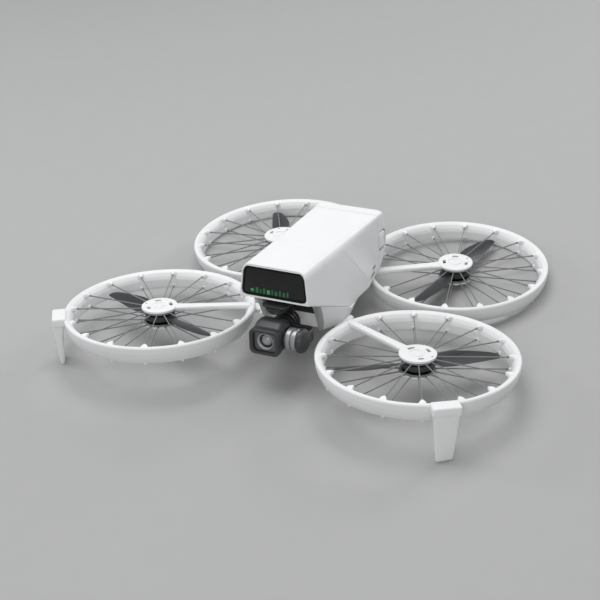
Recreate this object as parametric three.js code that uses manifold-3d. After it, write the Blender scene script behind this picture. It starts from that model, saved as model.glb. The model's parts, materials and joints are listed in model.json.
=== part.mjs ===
// Folding camera drone with four ring-shaped propeller guards, in millimetres, +Z up.
//
// The airframe is drawn level: it faces -Y, its left side is +X, and z = 0 is the plane
// of the front guards' upper edges. The last group turns the whole drone nose-up and lifts
// it, because it stands on two front legs and on the rims of the rear guards.
import * as THREE from 'three';
import { mergeVertices } from 'three/addons/utils/BufferGeometryUtils.js';
import Module from 'manifold-3d';

const wasm = await Module();
wasm.setup();

// ---------------------------------------------------------------- driving dimensions
const gap = 0.3;                 // clearance between two pieces that meet
const ringRadius = 56.5;         // guard ring, outer radius at its upper edge
const bandHeight = 10.9;         // guard ring, height of the band
const wall = 2;                  // body shell thickness
const hubRadius = 10.5;          // white disc over each motor
const spokeCount = 16;           // positions round a guard, one of them taken by the arm
const upperSpokeZ = -1.3;        // middle of the upper layer of spokes, in the guard's frame
const lowerSpokeZ = -8.6;        // middle of the lower layer
const spokeSize = 0.8;           // spoke width and height
const bracketReach = 49.8;       // radius that the spoke brackets reach in to
const bladeLength = 46.5;        // propeller tip radius
const restPitch = 7.46;          // degrees nose-up when the drone stands
const restLift = 18.27;          // height of the level plane z = 0 over the ground, at the middle
const battery = { halfWidth: 17.2, bottom: 9.2, top: 36.6, front: -24, seam: 28 };
const pinRadius = 1.2;
const knuckle = { radius: 3.3, length: 7 };
const cheekLength = 3.4;         // each side of a hinge knuckle

// Guards on the left side; the right side mirrors them. Angles are in degrees in the guard's
// own plane, from the drone's outward +X side, anticlockwise seen from above.
const foldedNormal = new THREE.Vector3(1, 0, 0);
const frontGuard = {
  centre: new THREE.Vector3(81.3, -59.2, 0),
  normal: new THREE.Vector3(0.023, 0, 1).normalize(),
  foldedCentre: new THREE.Vector3(31, -11, -62.5),
  spokeStart: 1.5,
  armSlot: 7,
  armAngle: 156.5,
  lugAngle: 152,
};
const rearGuard = {
  centre: new THREE.Vector3(59.75, 59.2, 3.6),
  normal: new THREE.Vector3(0.04, -0.083, 0.996).normalize(),
  foldedCentre: new THREE.Vector3(16, -9.5, -62),
  spokeStart: 13.4,
  armSlot: 9,
  armAngle: -146.5,
  lugAngle: -139,
};
const guardPlan = [
  { name: 'front_left', side: 1, legAngle: -54.5, bladeStart: 35, ...frontGuard },
  { name: 'front_right', side: -1, legAngle: -33, bladeStart: 160, ...frontGuard },
  { name: 'rear_left', side: 1, bladeStart: 80, ...rearGuard },
  { name: 'rear_right', side: -1, bladeStart: 120, ...rearGuard, spokeStart: 16.4, armAngle: -143.5 },
];

// ---------------------------------------------------------------- materials
const paint = (color, roughness, metalness = 0) =>
  () => new THREE.MeshStandardMaterial({ color, roughness, metalness });
const whitePlastic = paint('#e9eaea', 0.42);
const darkPlastic = paint('#1b1c1e', 0.5);
const blackGloss = paint('#08090a', 0.08);
const carbon = paint('#45474a', 0.45);
const propPlastic = paint('#2c2e31', 0.38);
const motorMetal = paint('#101113', 0.32, 0.6);
const gimbalMetal = paint('#3a3c40', 0.36, 0.7);
const brightMetal = paint('#b4b7bb', 0.25, 0.9);
const lensGlass = paint('#0c0f14', 0.03);
const boardGreen = paint('#1d4a35', 0.6);
const contactGold = paint('#c9a24a', 0.3, 0.9);
const rubber = paint('#17181a', 0.85);
const greenLight = paint('#2f8f4c', 0.4);
const steel = paint('#9a9da1', 0.3, 0.9);

// ---------------------------------------------------------------- solid helpers
const v3 = (x, y, z) => new THREE.Vector3(x, y, z);
const rad = THREE.MathUtils.degToRad;

function signedVolume(position, index) {
  const [a, b, c] = [v3(), v3(), v3()];
  let total = 0;
  for (let i = 0; i < index.length; i += 3) {
    a.fromArray(position, 3 * index[i]);
    b.fromArray(position, 3 * index[i + 1]);
    c.fromArray(position, 3 * index[i + 2]);
    total += a.dot(b.cross(c));
  }
  return total / 6;
}

// Turns a closed three.js geometry into a solid, with its faces outwards.
function solid(geometry, matrix = new THREE.Matrix4()) {
  const bare = geometry.clone();
  bare.deleteAttribute('normal');
  bare.deleteAttribute('uv');
  bare.applyMatrix4(matrix);
  const merged = mergeVertices(bare, 1e-4);
  const position = new Float32Array(merged.attributes.position.array);
  const index = merged.index.array;
  const corners = [];
  for (let i = 0; i < index.length; i += 3) {
    const [a, b, c] = [index[i], index[i + 1], index[i + 2]];
    if (a !== b && b !== c && c !== a) corners.push(a, b, c);
  }
  if (signedVolume(position, corners) < 0) corners.reverse();
  const triVerts = new Uint32Array(corners);
  return new wasm.Manifold(new wasm.Mesh({ numProp: 3, vertProperties: position, triVerts }));
}

const join = (first, ...others) => others.reduce((sum, next) => sum.add(next), first);
const cut = (first, ...tools) => tools.reduce((rest, tool) => rest.subtract(tool), first);

function box(x0, x1, y0, y1, z0, z1, matrix) {
  const geometry = new THREE.BoxGeometry(x1 - x0, y1 - y0, z1 - z0);
  geometry.translate((x0 + x1) / 2, (y0 + y1) / 2, (z0 + z1) / 2);
  return solid(geometry, matrix);
}

// A matrix whose Z axis runs along a direction, with X as near as it can be to a hint.
function frameAlong(origin, zAxis, xHint = v3(1, 0, 0)) {
  const z = zAxis.clone().normalize();
  const y = z.clone().cross(xHint).normalize();
  const x = y.clone().cross(z);
  return new THREE.Matrix4().makeBasis(x, y, z).setPosition(origin);
}

// A solid turned about Z from [radius, height] points.
function turned(profile, segments = 24, matrix = new THREE.Matrix4()) {
  const geometry = new THREE.LatheGeometry(profile.map(([r, h]) => new THREE.Vector2(r, h)), segments);
  return solid(geometry.rotateX(Math.PI / 2), matrix);
}

const disc = (radius, z0, z1, segments = 24, matrix) =>
  turned([[0, z0], [radius, z0], [radius, z1], [0, z1]], segments, matrix);

// An outline of [a, b] points extruded from depth0 to depth1 along the matrix's Z axis.
function prism(outline, depth0, depth1, matrix = new THREE.Matrix4()) {
  const shape = new THREE.Shape(outline.map(([a, b]) => new THREE.Vector2(a, b)));
  const geometry = new THREE.ExtrudeGeometry(shape, { depth: depth1 - depth0, bevelEnabled: false });
  return solid(geometry.translate(0, 0, depth0), matrix);
}

// Outlines drawn as [y, z] and extruded along X.
const sideways = new THREE.Matrix4().makeBasis(v3(0, 1, 0), v3(0, 0, 1), v3(1, 0, 0));
// Outlines drawn as [x, z] and extruded along -Y, towards the nose.
const forwards = new THREE.Matrix4().makeBasis(v3(1, 0, 0), v3(0, 0, 1), v3(0, -1, 0));

// Points of a rectangle with round corners, centred on the origin.
function roundedRectangle(width, height, radius, steps = 3) {
  const points = [];
  for (let corner = 0; corner < 4; corner += 1) {
    const cx = (corner === 0 || corner === 3 ? 1 : -1) * (width / 2 - radius);
    const cy = (corner < 2 ? 1 : -1) * (height / 2 - radius);
    for (let i = 0; i <= steps; i += 1) {
      const angle = (corner + i / steps) * Math.PI / 2;
      points.push([cx + radius * Math.cos(angle), cy + radius * Math.sin(angle)]);
    }
  }
  return points;
}

// A solid through a list of closed loops that all have the same number of points.
function loft(loops) {
  const count = loops[0].length;
  const positions = loops.flat().flatMap((p) => [p.x, p.y, p.z]);
  const index = [];
  for (let level = 0; level + 1 < loops.length; level += 1) {
    for (let i = 0; i < count; i += 1) {
      const a = level * count + i;
      const b = level * count + (i + 1) % count;
      index.push(a, b, b + count, a, b + count, a + count);
    }
  }
  const last = (loops.length - 1) * count;
  for (let i = 1; i + 1 < count; i += 1) {
    index.push(0, i + 1, i, last, last + i, last + i + 1);
  }
  const geometry = new THREE.BufferGeometry();
  geometry.setAttribute('position', new THREE.Float32BufferAttribute(positions, 3));
  geometry.setIndex(index);
  return solid(geometry);
}

// Moves every edge of an anticlockwise outline inwards by a distance.
function inset(outline, distance) {
  const count = outline.length;
  return outline.map(([x, y], i) => {
    const [px, py] = outline[(i + count - 1) % count];
    const [nx, ny] = outline[(i + 1) % count];
    const before = new THREE.Vector2(py - y, x - px).normalize();
    const after = new THREE.Vector2(y - ny, nx - x).normalize();
    const middle = before.clone().add(after).normalize();
    const reach = distance / Math.max(middle.dot(after), 0.3);
    return [x + middle.x * reach, y + middle.y * reach];
  });
}

const flatness = 0.005;   // triangles that lie in one plane to within this are merged
function part(name, body, material, parent) {
  const result = body.asOriginal().simplify(flatness).getMesh();
  const geometry = new THREE.BufferGeometry();
  geometry.setAttribute('position', new THREE.Float32BufferAttribute(result.vertProperties, 3));
  geometry.setIndex(new THREE.Uint32BufferAttribute(result.triVerts, 1));
  geometry.computeVertexNormals();
  const mesh = new THREE.Mesh(geometry, material());
  mesh.name = name;
  parent.add(mesh);
  return mesh;
}

// ---------------------------------------------------------------- fold hinges
// A guard folds about one skewed pin. The pin is the only line that carries the open ring
// (its centre and normal) onto the folded ring, upright under the body.
function foldHinge(plan) {
  const mirror = v3(plan.side, 1, 1);
  const [centre, normal, foldedCentre, folded] =
    [plan.centre, plan.normal, plan.foldedCentre, foldedNormal].map((p) => p.clone().multiply(mirror));
  const move = foldedCentre.clone().sub(centre);
  const axis = folded.clone().sub(normal).cross(move).normalize();
  const flatten = (p) => p.clone().addScaledVector(axis, -axis.dot(p));
  const [from, to] = [flatten(normal), flatten(folded)];
  let angle = Math.atan2(axis.dot(from.clone().cross(to)), from.dot(to));
  if (angle < 0) {
    axis.negate();
    angle = -angle;
  }
  const point = centre.clone().add(foldedCentre).multiplyScalar(0.5);
  point.addScaledVector(axis.clone().cross(move), 0.5 / Math.tan(angle / 2));
  return { centre, normal, axis, angle, point };
}

const guards = guardPlan.map((plan) => {
  const hinge = foldHinge(plan);
  const lean = new THREE.Quaternion().setFromUnitVectors(v3(0, 0, 1), hinge.normal);
  const place = new THREE.Matrix4().compose(hinge.centre, lean, v3(1, 1, 1));
  const turn = (angle) => rad(plan.side > 0 ? angle : 180 - angle);
  const at = (radius, angle, z) => v3(radius * Math.cos(turn(angle)), radius * Math.sin(turn(angle)), z);
  const wallPoint = at(ringRadius - 1.4, plan.lugAngle, -4.6).applyMatrix4(place);
  const along = wallPoint.clone().sub(hinge.point).dot(hinge.axis);
  const knuckleCentre = hinge.point.clone().addScaledVector(hinge.axis, along);
  return { ...plan, ...hinge, place, lean, turn, at, wallPoint, knuckleCentre };
});

// The hinge's own frame: Z along the pin, X from the pin towards the ring.
const hingeFrame = (guard) =>
  frameAlong(guard.knuckleCentre, guard.axis, guard.wallPoint.clone().sub(guard.knuckleCentre));

// ---------------------------------------------------------------- guard ring, arm and spokes
// The band is a rounded arch over a plain skirt. Points are [radius, height].
const ringInside = [
  [ringRadius - 5.2, -bandHeight], [ringRadius - 5.4, -4.8], [ringRadius - 4.2, -1.9],
  [ringRadius - 2.1, 0],
];
const ringProfile = [
  ...ringInside, [ringRadius - 0.5, 0], [ringRadius, -0.9], [ringRadius - 0.6, -6.5],
  [ringRadius - 3.4, -bandHeight], ringInside[0],
];
const bracketOutline = [
  [ringRadius - 2.6, -0.6], [bracketReach, -0.8], [bracketReach, -2], [ringRadius - 4.9, -5],
  [bracketReach, -8], [bracketReach, -9.3], [ringRadius - 4.8, -10.2],
];

const spokeAngles = (guard) => {
  const slots = [...Array(spokeCount).keys()].filter((slot) => slot !== guard.armSlot);
  return slots.map((slot) => guard.spokeStart + slot * 360 / spokeCount);
};

// A frame at an angle of the guard: X outwards, Y up, Z along the rim.
function radialFrame(guard, angle) {
  const outwards = guard.at(1, angle, 0);
  const up = v3(0, 0, 1);
  return new THREE.Matrix4().makeBasis(outwards, up, outwards.clone().cross(up));
}

// Where the level airframe goes when the drone stands on the ground plane z = 0.
const stance = new THREE.Matrix4().makeRotationX(rad(-restPitch)).setPosition(0, 0, restLift);

// Landing leg: each level gives height, inner radius, outer radius and width. The leg is
// drawn past the ground plane and cut there, which makes the flat sole of the foot.
const legLevels = [
  [1.1, 54.6, 61.6, 14.2], [-0.2, 54.6, 62.6, 15.6], [-3.6, 54.6, 62.9, 15.6],
  [-11.6, 57.6, 62.2, 13], [-30, 58, 61, 10], [-36, 58.2, 60.8, 9.2],
];
function leg(guard) {
  const frame = radialFrame(guard, guard.legAngle);
  const ground = box(-200, 200, -200, 200, -80, 0, stance.clone().multiply(guard.place).invert());
  const post = loft(legLevels.map(([z, inner, outer, width]) =>
    [[inner, -1], [outer, -1], [outer, 1], [inner, 1]].map(([r, side]) =>
      v3(r, z, side * width / 2).applyMatrix4(frame))));
  return cut(post, ground);
}

function guardRing(guard) {
  const toGuard = guard.place.clone().invert();
  const hinge = toGuard.clone().multiply(hingeFrame(guard));
  const reach = guard.wallPoint.distanceTo(guard.knuckleCentre);
  const half = knuckle.length / 2;
  const brackets = spokeAngles(guard).map((angle) =>
    prism(bracketOutline, -0.7, 0.7, radialFrame(guard, angle)));
  const barrel = disc(knuckle.radius, -half, half, 20, hinge);
  const lug = box(0, reach, -2.4, 2.4, -half, half, hinge);
  const legs = guard.legAngle === undefined ? [] : [leg(guard)];
  const hollow = disc(ringRadius - 2.5, -bandHeight - 1, 2, 40);
  const outside = cut(join(barrel, lug), hollow);
  const ring = join(turned(ringProfile, 44), outside, ...legs, ...brackets);
  return cut(ring, disc(pinRadius + gap, -half - 1, half + 1, 16, hinge));
}

const armProfile = { top: 0.5, bottom: -2.5, hubHalfWidth: 3.6, rimHalfWidth: 2.3 };
function arm(guard) {
  const end = ringRadius - 2.1 - gap;
  const clear = ringInside.map(([radius, z]) => [radius - gap, z]);
  const band = turned([...clear, [end, 1], [ringRadius, 1], [ringRadius, -bandHeight], clear[0]], 44);
  const { top, bottom, hubHalfWidth, rimHalfWidth } = armProfile;
  const outwards = guard.at(1, guard.armAngle, 0);
  const frame = new THREE.Matrix4().makeBasis(outwards, v3(0, 0, 1).cross(outwards), v3(0, 0, 1));
  const outline = [[4, -hubHalfWidth], [16, -hubHalfWidth + 0.8], [end, -rimHalfWidth],
    [end, rimHalfWidth], [16, hubHalfWidth - 0.8], [4, hubHalfWidth]];
  const room = disc(hubRadius + 0.6, bottom - 1, -0.6, 32);
  const bar = cut(prism(outline, bottom, top, frame), room, band);
  return join(disc(hubRadius, -0.6, 0.7, 32), bar);
}

// One layer of spokes joined to its hub ring.
function spokeLayer(guard, z, hubInner, hubOuter, hubHeight) {
  const half = spokeSize / 2;
  const rods = spokeAngles(guard).map((angle) => {
    const frame = radialFrame(guard, angle);
    return box(hubInner + 0.6, bracketReach - gap, z - half, z + half, -half, half, frame);
  });
  const low = z - hubHeight / 2;
  const high = z + hubHeight / 2;
  const ring = turned([[hubInner, low], [hubOuter, low], [hubOuter, high], [hubInner, high],
    [hubInner, low]], 24);
  return join(ring, ...rods);
}

// ---------------------------------------------------------------- motor and propeller
const bell = { inner: 5.7, outer: 6.8, top: -2.9, floor: -6.9, bottom: -7.7, bore: 1.4 };
const stator = { flange: 7.6, core: 5.2, shaft: 1, plate: 9.2, plateTop: -8.1, bottom: -9.1 };

const motorStator = () => turned([
  [0, -0.9], [stator.flange, -0.9], [stator.flange, -1.9], [stator.core, -2.4], [stator.core, -6.4],
  [stator.shaft, -6.4], [stator.shaft, stator.plateTop], [stator.plate, stator.plateTop],
  [stator.plate, stator.bottom], [0, stator.bottom]], 16);

const motorBell = () => turned([
  [bell.inner, bell.top], [bell.outer, bell.top], [bell.outer, bell.floor],
  [bell.outer - 1.2, bell.bottom], [bell.bore, bell.bottom], [bell.bore, bell.floor],
  [bell.inner, bell.floor], [bell.inner, bell.top]], 16);

// Blade sections: radius, chord, sweep of the section's middle and pitch in degrees.
const bladeSections = [
  [7.6, 6, 0, 24], [14, 10.5, 0.6, 22], [24, 12, 1.4, 16], [36, 9.4, 1, 11], [44, 6.4, 0.2, 8],
  [bladeLength, 3.6, -0.8, 7],
];
const bladeThickness = 0.9;
const bladeZ = -4.9;
function propeller(guard) {
  const hub = turned([[bell.outer + gap, -6.9], [8.8, -6.9], [8.8, -3.6], [bell.outer + gap, -3.6],
    [bell.outer + gap, -6.9]], 16);
  const blades = [0, 180].map((start) => {
    const spin = new THREE.Matrix4().makeRotationZ(rad(start + guard.bladeStart));
    return loft(bladeSections.map(([radius, chord, sweep, pitch]) => {
      const tilt = rad(pitch) * guard.side;
      return [[-0.5, 0], [0, -0.5], [0.5, 0], [0, 0.5]].map(([along, through]) => {
        const a = along * chord;
        const b = through * bladeThickness;
        const y = guard.side * sweep + a * Math.cos(tilt) - b * Math.sin(tilt);
        return v3(radius, y, bladeZ + a * Math.sin(tilt) + b * Math.cos(tilt)).applyMatrix4(spin);
      });
    }));
  });
  return join(hub, ...blades);
}

// ---------------------------------------------------------------- body shell
// Side view of the body as [y, z]: sloping underside, level belly, round tail, flat top.
const underside = { noseY: -70.3, noseZ: 22.6, kneeY: -22, kneeZ: 2.6, tailY: 27, tailZ: 4.6 };
const roof = { noseZ: 42.2, tailY: 38.9, tailZ: 39.6 };
const sideOutline = [
  [underside.noseY, underside.noseZ], [underside.kneeY, underside.kneeZ],
  [8, 3.4], [underside.tailY, underside.tailZ], [31.6, 6], [35.6, 8.6], [39.2, 12.4], [41.6, 16.8],
  [42.7, 21.4], [42.4, 25.6], [40.2, 34], [roof.tailY, 38], [36.8, roof.tailZ + 0.6],
  [-69.6, roof.noseZ + 0.1],
];
const roofAt = (y) => THREE.MathUtils.mapLinear(y, -70, roof.tailY, roof.noseZ, roof.tailZ + 0.5);
const undersideAt = (y) => (y < underside.kneeY
  ? THREE.MathUtils.mapLinear(y, underside.noseY, underside.kneeY, underside.noseZ, underside.kneeZ)
  : THREE.MathUtils.mapLinear(y, underside.kneeY, underside.tailY, underside.kneeZ, underside.tailZ));

// Half width of the body at each level: at the nose, at the ridge where the flared side panel
// ends, behind that ridge, and at the tail. A drop from the roof of 0 is the roof's own level.
const bodyLevels = [
  { drop: 0, ridgeY: -21, nose: 16.2, ridge: 17.4, waist: 18, tail: 18.4 },
  { drop: 0.8, ridgeY: -21, nose: 18, ridge: 19.1, waist: 19.6, tail: 20 },
  { drop: 2.6, ridgeY: -20.4, nose: 18.9, ridge: 20, waist: 20.4, tail: 20.9 },
  { drop: 5, ridgeY: -19.7, nose: 19.3, ridge: 20.6, waist: 20.8, tail: 21.2 },
  { drop: 25, ridgeY: -4.7, nose: 21.6, ridge: 24, waist: 22, tail: 21.6 },
  { drop: 39, ridgeY: -20.7, nose: 23.4, ridge: 26.4, waist: 22.2, tail: 21.4 },
  { drop: 52, ridgeY: -20.7, nose: 23.4, ridge: 26.4, waist: 22.2, tail: 21.4 },
];
function bodyHull(thinner = 0) {
  const loops = bodyLevels.map(({ drop, ridgeY, nose, ridge, waist, tail }) => {
    const halfWidths = [[-76, nose - 0.2], [ridgeY, ridge], [ridgeY + 26, waist], [46, tail]];
    const right = halfWidths.map(([y, w]) => v3(w - thinner, y, roofAt(y) - drop - thinner));
    const left = [...right].reverse().map((p) => v3(-p.x, p.y, p.z));
    return [...right, ...left];
  });
  const outline = inset(sideOutline, thinner);
  return loft(loops).intersect(prism(outline, -40, 40, sideways));
}

// The window's outline as [x, z]: narrow at the top, widest low down, corners cut.
const windowOutline = (smaller) => {
  const side = 20.3 - smaller;
  const top = 41 - smaller;
  const right = [[17 - smaller, 23.4 + smaller], [19.3 - smaller, 24], [side, 26.2],
    [19 - smaller, top - 3.4], [18 - smaller, top - 1.4], [16.6 - smaller, top]];
  return [...right, ...[...right].reverse().map(([x, z]) => [-x, z])];
};
const windowBack = -67.6;

const latch = { y: 34.2, z: 22.5, length: 9.6, height: 10.8, depth: 2.6 };
const latchOutline = (bigger) =>
  roundedRectangle(latch.length + 2 * bigger, latch.height + 2 * bigger, 3.2 + bigger)
    .map(([a, b]) => [a + latch.y, b + latch.z]);

const powerButton = { y: 10, z: 29, radius: 4.2, face: 21.4 };   // on the right side wall
const buttonFrame = (x) => new THREE.Matrix4().makeBasis(v3(0, 0, 1), v3(0, -1, 0), v3(1, 0, 0))
  .setPosition(x, powerButton.y, powerButton.z);
const ports = [
  { name: 'usb_port', y: 22.6, z: 10.1, length: 7, height: 2.2 },
  { name: 'card_slot', y: 19.8, z: 6.8, length: 9, height: 2 },
];
const portHole = (port, bigger = 0) => box(18, 24, port.y - port.length / 2 - bigger,
  port.y + port.length / 2 + bigger, port.z - port.height / 2 - bigger, port.z + port.height / 2 + bigger);

function upperShell() {
  const inner = prism(inset(sideOutline, wall), -40, 40, sideways);
  const room = bodyHull(wall);
  const floorOpening = box(-17.6, 17.6, -63, battery.seam + 1, -8, 25);
  const tail = box(-40, 40, battery.seam - gap / 2, 60, -20, 60);
  const windowHole = prism(windowOutline(0), 60, 80, forwards);
  const buttonHole = disc(powerButton.radius + gap, 0, 8, 24, buttonFrame(-26));
  const holes = ports.map((port) => portHole(port, gap));
  const frontRoom = room.intersect(box(-40, 40, -69, 60, -20, 60)).intersect(inner);
  return cut(bodyHull(), frontRoom, floorOpening, tail, windowHole, buttonHole, ...holes);
}

// ---------------------------------------------------------------- lower body
// Base under the shell, between the guards: levels of height with plan half widths.
const baseBottom = -4.4;
const baseLevels = [
  { z: baseBottom, front: -44, rear: -8, nose: 18.5, middle: 21.5, tail: 17 },
  { z: -2, front: -47.4, rear: -3, nose: 21, middle: 24.8, tail: 19.5 },
  { z: 2, front: -49, rear: 1.5, nose: 22, middle: 25.8, tail: 20.4 },
  { z: 20, front: -57, rear: 4, nose: 22.4, middle: 25.6, tail: 20.6 },
];
function baseBlock() {
  const loops = baseLevels.map(({ z, front, rear, nose, middle, tail }) => {
    const plan = [[front, nose - 2], [front + 3, nose], [-34, middle], [-24, middle], [rear, tail]];
    const right = plan.map(([y, w]) => v3(w, y, z));
    return [...right, ...[...right].reverse().map((p) => v3(-p.x, p.y, p.z))];
  });
  const belly = underside.kneeZ - gap;
  const below = [[-75, undersideAt(-75) - gap], [underside.kneeY, belly], [30, belly], [30, -20], [-75, -20]];
  return loft(loops).intersect(prism(below, -40, 40, sideways));
}

// Fixed half of a fold hinge: a boss round the pin, with room for the knuckle and its lug.
function hingeBoss(guard) {
  const half = knuckle.length / 2 + cheekLength;
  const boss = disc(4.3, -half, half, 20, hingeFrame(guard));
  if (guard.legAngle !== undefined) return boss;
  const { x, y } = guard.knuckleCentre;
  const inner = guard.side > 0 ? [3.4, x + 2.6] : [x - 2.6, -3.4];
  return join(boss, box(...inner, y - 7, y + 3.4, -1, 5));
}
function hingeRoom(guard) {
  const half = knuckle.length / 2 + gap;
  const frame = hingeFrame(guard);
  const margin = rad(44);
  const sweep = [[0, 0]];
  for (let i = 0; i <= 8; i += 1) {
    const angle = -margin + (guard.angle + 2 * margin) * i / 8;
    sweep.push([14 * Math.cos(angle), 14 * Math.sin(angle)]);
  }
  return join(
    disc(knuckle.radius + 0.5, -half, half, 20, frame),
    prism(sweep, -half, half, frame),
    disc(pinRadius + gap, -20, 20, 16, frame),
  );
}

const bay = { halfWidth: 16, front: -72, back: -41, roof: 22.8 };   // room for the gimbal
const floorHalfWidth = 17.2;
const floorFront = -62.6;
const sensor = { y: -20, halfWidth: 8, halfLength: 4.5, depth: 1.6 };   // downward sensors
const sensorWindow = (bigger) => box(
  -sensor.halfWidth - bigger, sensor.halfWidth + bigger,
  sensor.y - sensor.halfLength - bigger, sensor.y + sensor.halfLength + bigger,
  baseBottom - (bigger > 0 ? 1 : 0), baseBottom + sensor.depth + bigger);

function lowerBody() {
  const rear = battery.seam + 1;
  const tailLip = bodyHull().intersect(box(-40, 40, battery.seam + gap / 2, 60, 0, battery.bottom - gap));
  const across = (outline) => prism(outline, -floorHalfWidth, floorHalfWidth, sideways);
  const at = (y, above = 0) => [y, undersideAt(y) + above];
  const bayBack = bay.back + 1.6;
  const bayTop = bay.roof + 1.8;
  const floor = across(
    [at(floorFront), at(underside.kneeY), at(8), at(rear), at(rear, 2.2), at(underside.kneeY, 3)]);
  const bayWalls = across([at(floorFront), at(bayBack), [bayBack, bayTop], [floorFront, bayTop]]);
  const core = across([[-55, 14], [-47, -3], [-3, -3], [1, 4.2], [underside.kneeY, 4.2], [-50, 16]]);
  const body = join(floor, bayWalls, core, tailLip, baseBlock(), ...guards.map(hingeBoss));
  const bayRoom = box(-bay.halfWidth, bay.halfWidth, bay.front, bay.back, -20, bay.roof);
  const hollow = box(-14, 14, -38, -5, baseBottom + 2.4, 12);
  return cut(body, bayRoom, hollow, sensorWindow(gap), ...guards.map(hingeRoom));
}

// ---------------------------------------------------------------- window, board and buttons
function frontWindow() {
  const pane = prism(windowOutline(gap), -windowBack, 72, forwards);
  return pane.intersect(bodyHull(0.35));
}

// Row of small indicator bars behind the window, on the drone's right.
const lightBars = { x0: -12.5, x1: 6, z: 27.2, height: 2.6, y: -67 };
const indicatorStrip = () => box(lightBars.x0, lightBars.x1, lightBars.y, lightBars.y + 1.2,
  lightBars.z - lightBars.height / 2, lightBars.z + lightBars.height / 2);

const board = { halfWidth: 15, front: -62, rear: -28, z: 27, thickness: 1.2 };
const mainBoard = () => box(-board.halfWidth, board.halfWidth, board.front, board.rear,
  board.z, board.z + board.thickness);

function batteryPack() {
  const { halfWidth, bottom, top, front, seam } = battery;
  const pack = prism(roundedRectangle(2 * halfWidth, top - bottom, 3), -seam - 1, -front, forwards
    .clone().setPosition(0, 0, (top + bottom) / 2));
  const cap = bodyHull().intersect(box(-40, 40, seam + gap / 2, 60, bottom, 60));
  const pockets = [-1, 1].map((side) =>
    prism(latchOutline(gap), 20.9 - latch.depth - 1.6, 24, sidewaysFrom(side)));
  const contacts = box(-11, 11, front - 1, front + 2.4, 19, 26);
  return cut(join(pack, cap), ...pockets, contacts);
}
const sidewaysFrom = (side) => new THREE.Matrix4().makeBasis(v3(0, 1, 0), v3(0, 0, 1), v3(side, 0, 0));
const batteryLatch = (side) =>
  prism(latchOutline(0), 20.9 - latch.depth, 22, sidewaysFrom(side)).intersect(bodyHull(-0.25));
const batteryContacts = () => box(-10.6, 10.6, battery.front - 3, battery.front + 2, 19.4, 25.6);

// The button's outer face stands just proud of the wall.
const buttonCap = () => turned([[0, 0], [powerButton.radius - 0.5, 0], [powerButton.radius, 0.4],
  [powerButton.radius, 2.2], [0, 2.2]], 24, buttonFrame(-powerButton.face));

const portInsert = (port) => portHole(port).intersect(bodyHull(0.6));

// ---------------------------------------------------------------- gimbal and camera
// Pan about Z, then roll about Y, then tilt about X; the three axes meet near the camera.
const camera = { y: -73.5, z: 2.7 };
const pan = { y: -67, radius: 6.4, capRadius: 5.2, top: 18.2, bottom: 16.3, armThickness: 1.2 };
const rollMotor = { radius: 7.2, front: -60.4, back: -54.6, seat: 3 };
const tiltMotor = { radius: 7.2, inner: 10, cup: 17.2, outer: 22 };
const hood = { width: 18.4, height: 15.2, front: -84.4, back: -80.4 };

const axisY = (x, y, z) => frameAlong(v3(x, y, z), v3(0, 1, 0));
const axisX = (x, y, z) => frameAlong(v3(x, y, z), v3(1, 0, 0), v3(0, 1, 0));

const mountPlate = { halfWidth: 14.5, front: -72.5, back: -46, z: 18.5, thickness: 1 };
const gimbalMount = () => join(
  box(-mountPlate.halfWidth, mountPlate.halfWidth, -61.5, mountPlate.back,
    mountPlate.z, mountPlate.z + mountPlate.thickness),
  box(-8, 8, mountPlate.front, -61, mountPlate.z, mountPlate.z + mountPlate.thickness),
);
const damperPlaces = [[-11.5, -50], [11.5, -50], [-11.5, -58.6], [11.5, -58.6]];
const damper = (x, y) => {
  const low = mountPlate.z + mountPlate.thickness + gap;
  const high = bay.roof - gap;
  const middle = (low + high) / 2;
  return turned([[0, low], [1.4, low], [2.3, middle], [1.4, high], [0, high]], 14,
    new THREE.Matrix4().makeTranslation(x, y, 0));
};
const panMotor = () => turned([[0, pan.bottom], [pan.radius, pan.bottom], [pan.radius, pan.top - 0.5],
  [pan.radius - 0.6, pan.top], [0, pan.top]], 24, new THREE.Matrix4().makeTranslation(0, pan.y, 0));

// Pan arm: a cap under the pan motor, a bridge backwards and a drop to the roll motor.
function panArm() {
  const top = pan.bottom - gap;
  const low = top - pan.armThickness;
  const back = rollMotor.back + gap;
  const cap = disc(pan.capRadius, low, top, 24, new THREE.Matrix4().makeTranslation(0, pan.y, 0));
  const bridge = box(-4, 4, pan.y, back + rollMotor.seat, low, top);
  const drop = box(-4, 4, back, back + rollMotor.seat, camera.z, top);
  const seat = disc(rollMotor.radius, 0, rollMotor.seat, 24, axisY(0, back, camera.z));
  return join(cap, bridge, drop, seat);
}
const rollMotorBody = () => disc(rollMotor.radius - 0.4, 0, rollMotor.back - rollMotor.front - gap, 24,
  axisY(0, rollMotor.front + gap, camera.z));

// Roll arm: a disc behind the camera, a link to the side and a cup for the tilt motor.
function rollArm() {
  const back = rollMotor.front;
  const front = back - 2.2;
  const { cup, outer } = tiltMotor;
  const halfHeight = 3.6;
  const [low, high] = [camera.z - halfHeight, camera.z + halfHeight];
  const plate = disc(rollMotor.radius - 0.8, 0, back - front, 24, axisY(0, front, camera.z));
  const link = box(0, outer - 0.8, front, back, low, high);
  const side = box(cup + 0.6, outer - 0.8, camera.y, back, low, high);
  const motorCup = turned([[0, 0], [tiltMotor.radius, 0], [tiltMotor.radius, outer - cup - 1.4],
    [tiltMotor.radius - 2.6, outer - cup], [0, outer - cup]], 24, axisX(cup, camera.y, camera.z));
  return join(plate, link, side, motorCup);
}
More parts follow.
